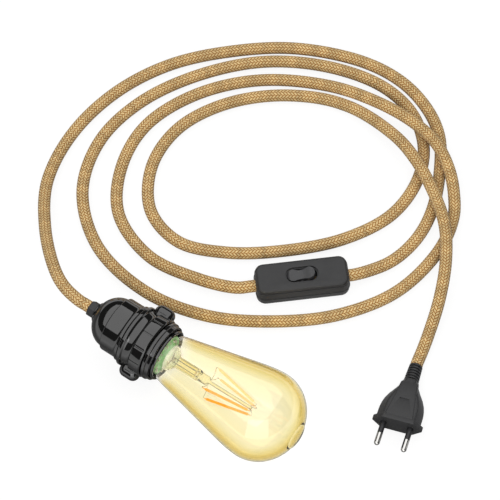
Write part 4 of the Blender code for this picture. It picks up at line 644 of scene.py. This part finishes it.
# The stem: clear lead glass drawn from a flare in the neck to a tube, pressed flat into a pinch round the
# wires, with a thin rod on it that carries the far ends of the filaments.
STEM = LAMP @ Matrix.Rotation(math.pi / 2, 4, "Z")
PINCH_LOW, PINCH_HIGH, PINCH_THICKNESS = 26.0, 33.9, 0.43
stem = turned("stem_of_glass", [
    (0.0001, 68.8), (0.6, 68.65), (1.0, 68.2), (1.15, 67.6), (1.15, 35.2), (1.5, 34.4), (2.8, 33.5),
    (3.4, 32.8), (3.5, 32.2), (3.5, 27.4), (3.8, 26.4), (4.1, 25.5), (4.1, 9.5), (4.25, 8.6), (4.7, 7.8),
    (5.6, 7.1), (6.7, 6.4), (7.8, 5.4), (8.7, 4.2), (9.2, 3.0), (9.4, 1.8), (8.8, 1.8), (8.5, 3.0),
    (7.9, 4.1), (7.0, 5.1), (6.0, 5.9), (5.0, 6.6), (4.1, 7.6), (3.6, 8.6), (3.3, 9.5), (3.3, 22.8),
    (2.4, 24.0), (0.0, 24.3),
], 64)
pick(stem, "vertices", lambda v: PINCH_LOW * MM < v.co.z < PINCH_HIGH * MM)
bpy.ops.transform.resize(value=(1.0, PINCH_THICKNESS, 1.0), center_override=(0.0, 0.0, 30.0 * MM))
bpy.ops.mesh.select_all(action="SELECT")
bpy.ops.mesh.normals_make_consistent(inside=False)
done()

# Lead glass: clear with a straw tint, with painted dark shade along its edges, and milky in the flare, where it
# was worked most.
lead_glass = blown_glass("clear_lead_glass", "FAFAF4", [
    (0.0, "FBF5D8"), (0.5, "F3EABC"), (0.72, "D2C48A"), (0.85, "7A7040"), (1.0, "403C1C"),
], 5.0, 11.0, clouded=0.6)
fitted(stem, STEM, lead_glass, "clear_glass", "stem_glass", smooth=60.0)

# The driver in the neck: a round green board with its chips, resistors and capacitors soldered on, which
# the solids show as a plain disc.
BOARD_TOP = -0.9
CHIPS, CHIP_ANGLE, CHIP_REACH, CHIP_SPREAD = 22, 137.5, 10.6, 2.9
CHIP_SIZES = ((1.9, 1.1, 0.6), (1.3, 0.8, 0.5), (2.4, 1.6, 0.8))
board = turned("driver_board_disc", [
    (14.4, -2.4), (14.6, -2.2), (14.6, -1.1), (14.4, BOARD_TOP), (0.0, BOARD_TOP), (0.0, -2.4), (14.4, -2.4),
])

# Solder mask: a glossy green lacquer, paler over the copper tracks.
solder_mask, tree, shader = material("green_solder_mask")
place = add(tree, "ShaderNodeTexCoord").outputs["Object"]
tracks = add(tree, "ShaderNodeTexVoronoi", {"Vector": place, "Scale": 600.0}, distance="CHEBYCHEV")
copper = add(tree, "ShaderNodeValToRGB", {"Fac": tracks}, [(0.0, "52B05A"), (0.6, "9ADC96")])
feed(tree, shader, {"Base Color": copper, "Roughness": 0.3})

# Moulded epoxy and ceramic: some parts are grey and some off-white, with a dull even surface.
chip_plastic, tree, shader = material("moulded_chip_epoxy")
place = add(tree, "ShaderNodeTexCoord").outputs["Object"]
speck = add(tree, "ShaderNodeTexNoise", {"Vector": place, "Scale": 1500.0})
batch = add(tree, "ShaderNodeValToRGB", {"Fac": speck}, [(0.45, "A8A48C"), (0.55, "EDEFEA")])
feed(tree, shader, {"Base Color": batch, "Roughness": 0.35})

chips = []
for number in range(CHIPS):
    angle = math.radians(number * CHIP_ANGLE)
    reach = CHIP_REACH + CHIP_SPREAD * ((number * 0.37) % 1.0)
    size = CHIP_SIZES[number % 3]
    place = (reach * math.cos(angle), reach * math.sin(angle), BOARD_TOP + size[2] / 2)
    chip = box(size, place, round(angle / (math.pi / 2)) * math.pi / 2)
    whole(chip)
    bpy.ops.mesh.bevel(offset=0.12 * MM, segments=2, affect="EDGES")
    done()
    chips.append(chip)
join(*chips)
chips[0].name = chips[0].data.name = "driver_chips"
fitted(chips[0], LAMP, chip_plastic, "green_board")
fitted(board, LAMP, solder_mask, "green_board", "driver_board")


# Filaments and their wires: four strips of tiny light diodes, each in a rod of orange phosphor, hang between
# nickel wires from the stem's pinch and from its far end. Bright nickel mirrors sharply.
def metal(name, low, high, roughness, grain):
    """A metal whose colour and polish drift a little over its surface."""
    made, tree, shader = material(name)
    place = add(tree, "ShaderNodeTexCoord").outputs["Object"]
    drift = add(tree, "ShaderNodeTexNoise", {"Vector": place, "Scale": grain, "Detail": 4.0})
    tone = add(tree, "ShaderNodeValToRGB", {"Fac": drift}, [(0.0, low), (1.0, high)])
    polish = add(tree, "ShaderNodeMapRange", {
        "Value": drift, "To Min": roughness * 0.7, "To Max": roughness * 1.4,
    })
    feed(tree, shader, {"Base Color": tone, "Roughness": polish, "Metallic": 1.0})
    return made


def phosphor(name, low, high):
    """Phosphor in silicone: a dense coat is a strong orange, and a thin one shows the pale strip through it.
    Both carry a faint painted glow.
    """
    made, tree, shader = material(name)
    place = add(tree, "ShaderNodeTexCoord").outputs["Object"]
    beads = add(tree, "ShaderNodeTexNoise", {"Vector": place, "Scale": 900.0, "Detail": 2.0})
    coat = add(tree, "ShaderNodeValToRGB", {"Fac": beads}, [(0.35, low), (0.7, high)])
    lumps = add(tree, "ShaderNodeBump", {"Height": beads, "Strength": 0.3, "Distance": 0.2 * MM})
    # Painted glow: the coat's colour is also given off as a faint light.
    feed(tree, shader, {
        "Base Color": coat, "Emission Color": coat, "Emission Strength": 0.3, "Roughness": 0.5, "Normal": lumps,
    })
    return made


def dress(finish, *nodes):
    """Gives CAD nodes a finish."""
    for node in nodes:
        cad[node].data.materials.clear()
        cad[node].data.materials.append(finish)


nickel = metal("bright_nickel_plate", "D2D0CB", "ECEBE8", 0.12, 300.0)
dress(phosphor("dense_orange_phosphor", "FF9814", "FFAE30"), "filament_2", "filament_3")
dress(phosphor("thin_pale_phosphor", "F6C684", "FDD8A4"), "filament_1", "filament_4")
dress(nickel, "lead_wire_1", "lead_wire_2", "lead_wire_3", "lead_wire_4")
dress(nickel, "crown_wire_1", "crown_wire_2", "crown_wire_3", "crown_wire_4")


# Two copper-clad wires, dulled brown by the flame that sealed them, run inside the stem's tube from the
# board to the pinch, where they meet the filaments' wires.
def rod(radius, length, place, sides, turn=(0.0, 0.0, 0.0)):
    """Starts from a round rod, in millimetres, upright until it is turned."""
    bpy.ops.object.select_all(action="DESELECT")
    location = [value * MM for value in place]
    bpy.ops.mesh.primitive_cylinder_add(
        vertices=sides, radius=radius * MM, depth=length * MM, location=location, rotation=turn
    )
    settle()
    return bpy.context.object


copper_clad = metal("oxidised_copper_clad_wire", "46381E", "645030", 0.35, 400.0)
stem_wires, other_wire = [rod(0.25, 26.0, (side * 1.5, 0.0, 12.4), 16) for side in (1.0, -1.0)]
join(stem_wires, other_wire)
stem_wires.name = stem_wires.data.name = "stem_wires"
fitted(stem_wires, STEM, copper_clad, "nickel_plate")


# Inside the holder: nickel-plated cap and screws, brass shell, terminals and tongue, a white pressed steatite
# block, the cap's black glass, and the two brown conductors. Rolled brass is warmer and duller than nickel.
def plain(name, low, high, roughness, grain, bump=0.1):
    """A finish that isn't metal, with a slow drift of tone and a fine surface."""
    made, tree, shader = material(name)
    place = add(tree, "ShaderNodeTexCoord").outputs["Object"]
    drift = add(tree, "ShaderNodeTexNoise", {"Vector": place, "Scale": grain, "Detail": 4.0})
    tone = add(tree, "ShaderNodeValToRGB", {"Fac": drift}, [(0.0, low), (1.0, high)])
    relief = add(tree, "ShaderNodeBump", {"Height": drift, "Strength": bump, "Distance": 0.1 * MM})
    feed(tree, shader, {"Base Color": tone, "Roughness": roughness, "Normal": relief})
    return made


rolled_brass = metal("rolled_brass_strip", "B08A3C", "D2AE62", 0.28, 220.0)
wire_insulation = plain("brown_wire_insulation", "5E4026", "7C5A3A", 0.5, 300.0)
dress(nickel, "bulb_cap", "cap_contact", "terminal_screw_live", "terminal_screw_neutral")
dress(rolled_brass, "screw_shell", "terminal_live", "terminal_neutral", "centre_contact")
dress(plain("pressed_white_steatite", "DDD8CC", "F0EDE6", 0.4, 700.0), "terminal_block")
dress(plain("black_cap_glass", "0C0C10", "18181E", 0.08, 200.0), "cap_insulator")
dress(wire_insulation, "conductor_live", "conductor_neutral")

# The inline switch: two shells of matte grey nylon. The cover has round corners, a fine step where its top
# rolls over, a lip over the base, and a slot with a sunk border for the rocker.
SWITCH = Matrix.Translation((12.0 * MM, 111.2 * MM, 0.0)) @ Matrix.Rotation(SWITCH_ANGLE, 4, "Z")
COVER_TOP = 15.5
HOLE_RADIUS, HOLE_REACH, HOLE_SIDEWAYS, HOLE_HEIGHT = 4.65, 32.3, -0.6, 6.9


def upright(a, b):
    return not same(a.z, b.z)


def slab(name, long, wide, low, high, corner, segments=8):
    """A block between two heights, with its four upright edges rounded."""
    made = box((long, wide, high - low), (0.0, 0.0, (low + high) / 2))
    made.name = made.data.name = name
    round_edges(made, corner, segments, upright)
    return made


def cut(piece, *tools, way="DIFFERENCE"):
    """Cuts the tools' shapes out of a piece, or adds them to it, one by one, and takes the tools away."""
    for tool in tools:
        only(piece)
        step = piece.modifiers.new("cut", "BOOLEAN")
        step.operation = way
        step.solver = "EXACT"
        step.object = tool
        bpy.ops.object.modifier_apply(modifier=step.name)
        bpy.data.objects.remove(tool, do_unlink=True)


def extend(height):
    """Draws the faces that are selected up by a height, in millimetres."""
    bpy.ops.mesh.extrude_region_move(TRANSFORM_OT_translate={"value": (0.0, 0.0, height * MM)})


def raise_top(piece, level, inset, height, spread=None):
    """Draws the top face in, all round, and then up, or up and then out by a share of its length and width."""
    pick(piece, "polygons", lambda f: f.normal.z > 0.9 and f.center.z > (level - 0.05) * MM)
    if inset:
        bpy.ops.mesh.inset(thickness=inset * MM, depth=0.0)
    extend(height)
    if spread:
        bpy.ops.transform.resize(value=(*spread, 1.0), center_override=(0.0, 0.0, (level + height) * MM))
    done()


def cord_holes():
    """Two round tools, one through each end wall, where the cord goes in and out."""
    made = []
    for side in (1.0, -1.0):
        place = (side * HOLE_REACH, HOLE_SIDEWAYS, HOLE_HEIGHT)
        hole = rod(HOLE_RADIUS, 8.0, place, 48, (0.0, math.pi / 2, 0.0))
        round_edges(hole, 0.2, 1, lambda a, b: same(a.x, b.x))
        made.append(hole)
    return made


cover = slab("switch_cover_shell", 65.6, 25.4, 5.0, 5.9, 7.0)
raise_top(cover, 5.9, 0.5, 6.3)
raise_top(cover, 12.2, 0.9, 0.8)
raise_top(cover, 13.0, 0.0, 0.05, (1.015, 1.042))
raise_top(cover, 13.05, 0.02, 2.45)
round_edges(cover, 2.4, 7, lambda a, b: same(a.z, COVER_TOP) and same(b.z, COVER_TOP))
cavity = slab("cover_cavity", 61.0, 20.8, 4.0, 13.7, 4.7)
border = slab("rocker_border", 22.8, 11.4, 13.95, 17.0, 5.69, 12)
opening = slab("rocker_slot", 21.2, 9.8, 10.0, 17.0, 4.89, 12)
cut(cover, cavity, border, opening, *cord_holes())
for side in (1.0, -1.0):
    cut(cover, box((6.4, 2.0, 5.2), (0.0, side * 7.1, 11.5)), way="UNION")
cut(cover, rod(1.4, 16.3, (0.0, 0.0, 11.8), 32, (math.pi / 2, 0.0, 0.0)))
soft_edges(cover, 0.18, 2, 50.0)
fitted(cover, SWITCH, nylon, "matte_case", "switch_cover")

# The switch's base: a shallow moulded tray of the same nylon, with soft lower edges. Two screws from below
# hold it to the cover.
base = slab("switch_base_tray", 64.6, 24.4, 0.0, 4.7, 6.5)
round_edges(base, 1.2, 4, lambda a, b: max(a.z, b.z) < 0.01)
tray = slab("tray_cavity", 61.0, 20.8, 1.8, 6.0, 4.7)
bores = []
for side in (1.0, -1.0):
    bore = rod(2.7, 8.0, (side * 15.0, 8.0, 0.0), 40)
    round_edges(bore, 0.2, 1, lambda a, b: same(a.z, b.z))
    bores.append(bore)
cut(base, tray, *bores, *cord_holes())
soft_edges(base, 0.15, 2, 50.0)
fitted(base, SWITCH, nylon, "matte_case", "switch_base")

# The rocker and what it works: a rocker of the same nylon, a shade lighter, and a little smoother where
# fingers polish it, on brass contacts, with plated clamps and screws and brown leads.
dress(plain("lighter_smoother_grey_nylon", "3A3A3B", "444446", 0.4, 900.0, 0.15), "rocker")
dress(rolled_brass, "contact_bar", "fixed_contact_left", "fixed_contact_right")
dress(nickel, "cord_clamp_left", "cord_clamp_right", "switch_screw_1", "switch_screw_2")
dress(wire_insulation, "switch_lead_left", "switch_lead_right", "through_conductor")

# The plug: one grey moulding round the pins, six-sided at the pin face, with a flange, a raised panel and a
# ribbed relief that bends with the cord.
PLUG = Matrix.Translation(PLUG_FACE) @ PLUG_TURN.to_4x4() @ Matrix.Rotation(-math.pi / 2, 4, "Y")
PLUG_WIDTH, PLUG_THICKNESS, PLUG_FLAT = 31.7, 13.0, 21.5
FLANGE, PLUG_LENGTH = 4.0, 33.0
PLUG_END = FLANGE + PLUG_LENGTH
THINNER, NARROWER, FLATTER = 2.0, 19.7, 13.36
# How far along its length the moulding is, and how far it has drawn in by then.
NARROWING = (
    (0.1, 0.0), (0.22, 0.005), (0.35, 0.06), (0.47, 0.165), (0.60, 0.355), (0.74, 0.65), (0.89, 0.93),
    (1.0, 1.0),
)


def scale_section(back, thick, wide):
    """Scales the section that is selected, about the plug's axis."""
    bpy.ops.transform.resize(value=(thick, wide, 1.0), center_override=(0.0, 0.0, back * MM))


def flatten(piece, back, scale):
    """Moves a section's four middle corners in or out, so that its flats are as wide as they should be."""
    pick(piece, "vertices", lambda v: same(v.co.z / MM, back) and abs(v.co.x) > MM)
    scale_section(back, 1.0, scale)
    done()


def six_sided(name, stations):
    """Draws a six-sided section on from one station to the next, each (back, width, thickness, flat)."""
    back, wide, thick, flat = stations[0]
    bpy.ops.object.select_all(action="DESELECT")
    location = (0.0, 0.0, back * MM)
    bpy.ops.mesh.primitive_circle_add(vertices=6, radius=1.0 * MM, fill_type="NGON", location=location)
    made = bpy.context.object
    made.name = made.data.name = name
    settle()
    whole(made)
    scale_section(back, thick / math.sqrt(3.0), wide / 2)
    done()
    flatten(made, back, 2 * flat / wide)
    for further, wider, thicker, flatter in stations[1:]:
        pick(made, "polygons", lambda f: len(f.vertices) == 6 and same(f.center.z / MM, back))
        if back == stations[0][0]:
            bpy.ops.mesh.duplicate()
        extend(further - back)
        scale_section(further, thicker / thick, wider / wide)
        done()
        flatten(made, further, flatter * wide / (flat * wider))
        back, wide, thick, flat = further, wider, thicker, flatter
    whole(made)
    bpy.ops.mesh.remove_doubles(threshold=0.001 * MM)
    bpy.ops.mesh.normals_make_consistent(inside=False)
    done()
    return made


stations = [(3.4, PLUG_WIDTH, PLUG_THICKNESS, PLUG_FLAT)]
for share, drawn in NARROWING:
    back = FLANGE + PLUG_LENGTH * share
    wide, thick = PLUG_WIDTH - NARROWER * drawn, PLUG_THICKNESS - THINNER * drawn
    stations.append((back, wide, thick, (PLUG_FLAT - FLATTER * drawn) * (1.0 - 0.15 * drawn)))
hull = six_sided("plug_moulding", stations)
round_edges(hull, 1.3, 4, upright)
round_edges(hull, 0.6, 3, lambda a, b: min(a.z, b.z) > PLUG_END - 0.1)
flange = six_sided("plug_flange", [(0.0, 35.3, 13.7, PLUG_FLAT), (FLANGE, 35.3, 13.7, PLUG_FLAT)])
round_edges(flange, 0.8, 3, upright)
soft_edges(flange, 0.4, 3, 40.0)
cut(hull, flange, way="UNION")
cut(hull, *[rod(2.25, 8.8, (0.0, side * 9.3, 3.4), 40) for side in (1.0, -1.0)])

# On top of the plug stands a low panel, moulded in one with it, that narrows to the back and has a short
# grip line across it.
PANEL_MIDDLE, PANEL_END = 18.2, 32.8
panel = box((3.5, 20.0, 29.2), (5.2, 0.0, PANEL_MIDDLE))
pick(panel, "vertices", lambda v: v.co.z > PANEL_MIDDLE * MM)
scale_section(PANEL_END, 1.0, 0.6)
bpy.ops.transform.translate(value=(-0.6 * MM, 0.0, 0.0))
done()
round_edges(panel, 1.2, 4, lambda a, b: not same(a.x, b.x))
for piece in (panel, hull):
    cut(piece, box((1.6, 6.8, 0.9), (7.05, 0.0, 18.6)))
soft_edges(panel, 0.22, 3, 40.0)

# The relief: six ribs of the same soft plastic, moulded on behind, with deep grooves between them that let
# it bend. They grow a little thinner towards the cord.
RIBS, GROOVE = 6, 1.1
PITCH = 13.6 / RIBS
ribs = [(4.0, 35.0), (4.5, 36.0)]
for rib in range(RIBS):
    start = PLUG_END + PITCH * rib
    radius = 5.2 - 0.6 * (rib + 0.5) / RIBS
    ribs += [(radius - GROOVE, start), (radius - GROOVE, start + PITCH * 0.34)]
    ribs += [(radius, start + PITCH * 0.42), (radius, start + PITCH * 0.92)]
relief = turned("plug_relief", [*ribs, (4.3, 50.6), (0.0, 50.6)], 48)
join(hull, panel, relief)
plug_grey = plain("moulded_grey_pvc", "2B2B2C", "353536", 0.5, 700.0, 0.12)
fitted(hull, PLUG, plug_grey, "matte_case", "plug_body")

# The pins: turned brass, nickel plated, with round tips, in dark plastic sleeves next to the plug. They are
# moulded into it.
dress(nickel, "plug_pin_left", "plug_pin_right")
dress(plain("dark_sleeve_plastic", "222224", "2C2C2E", 0.4, 600.0), "pin_sleeve_left", "pin_sleeve_right")
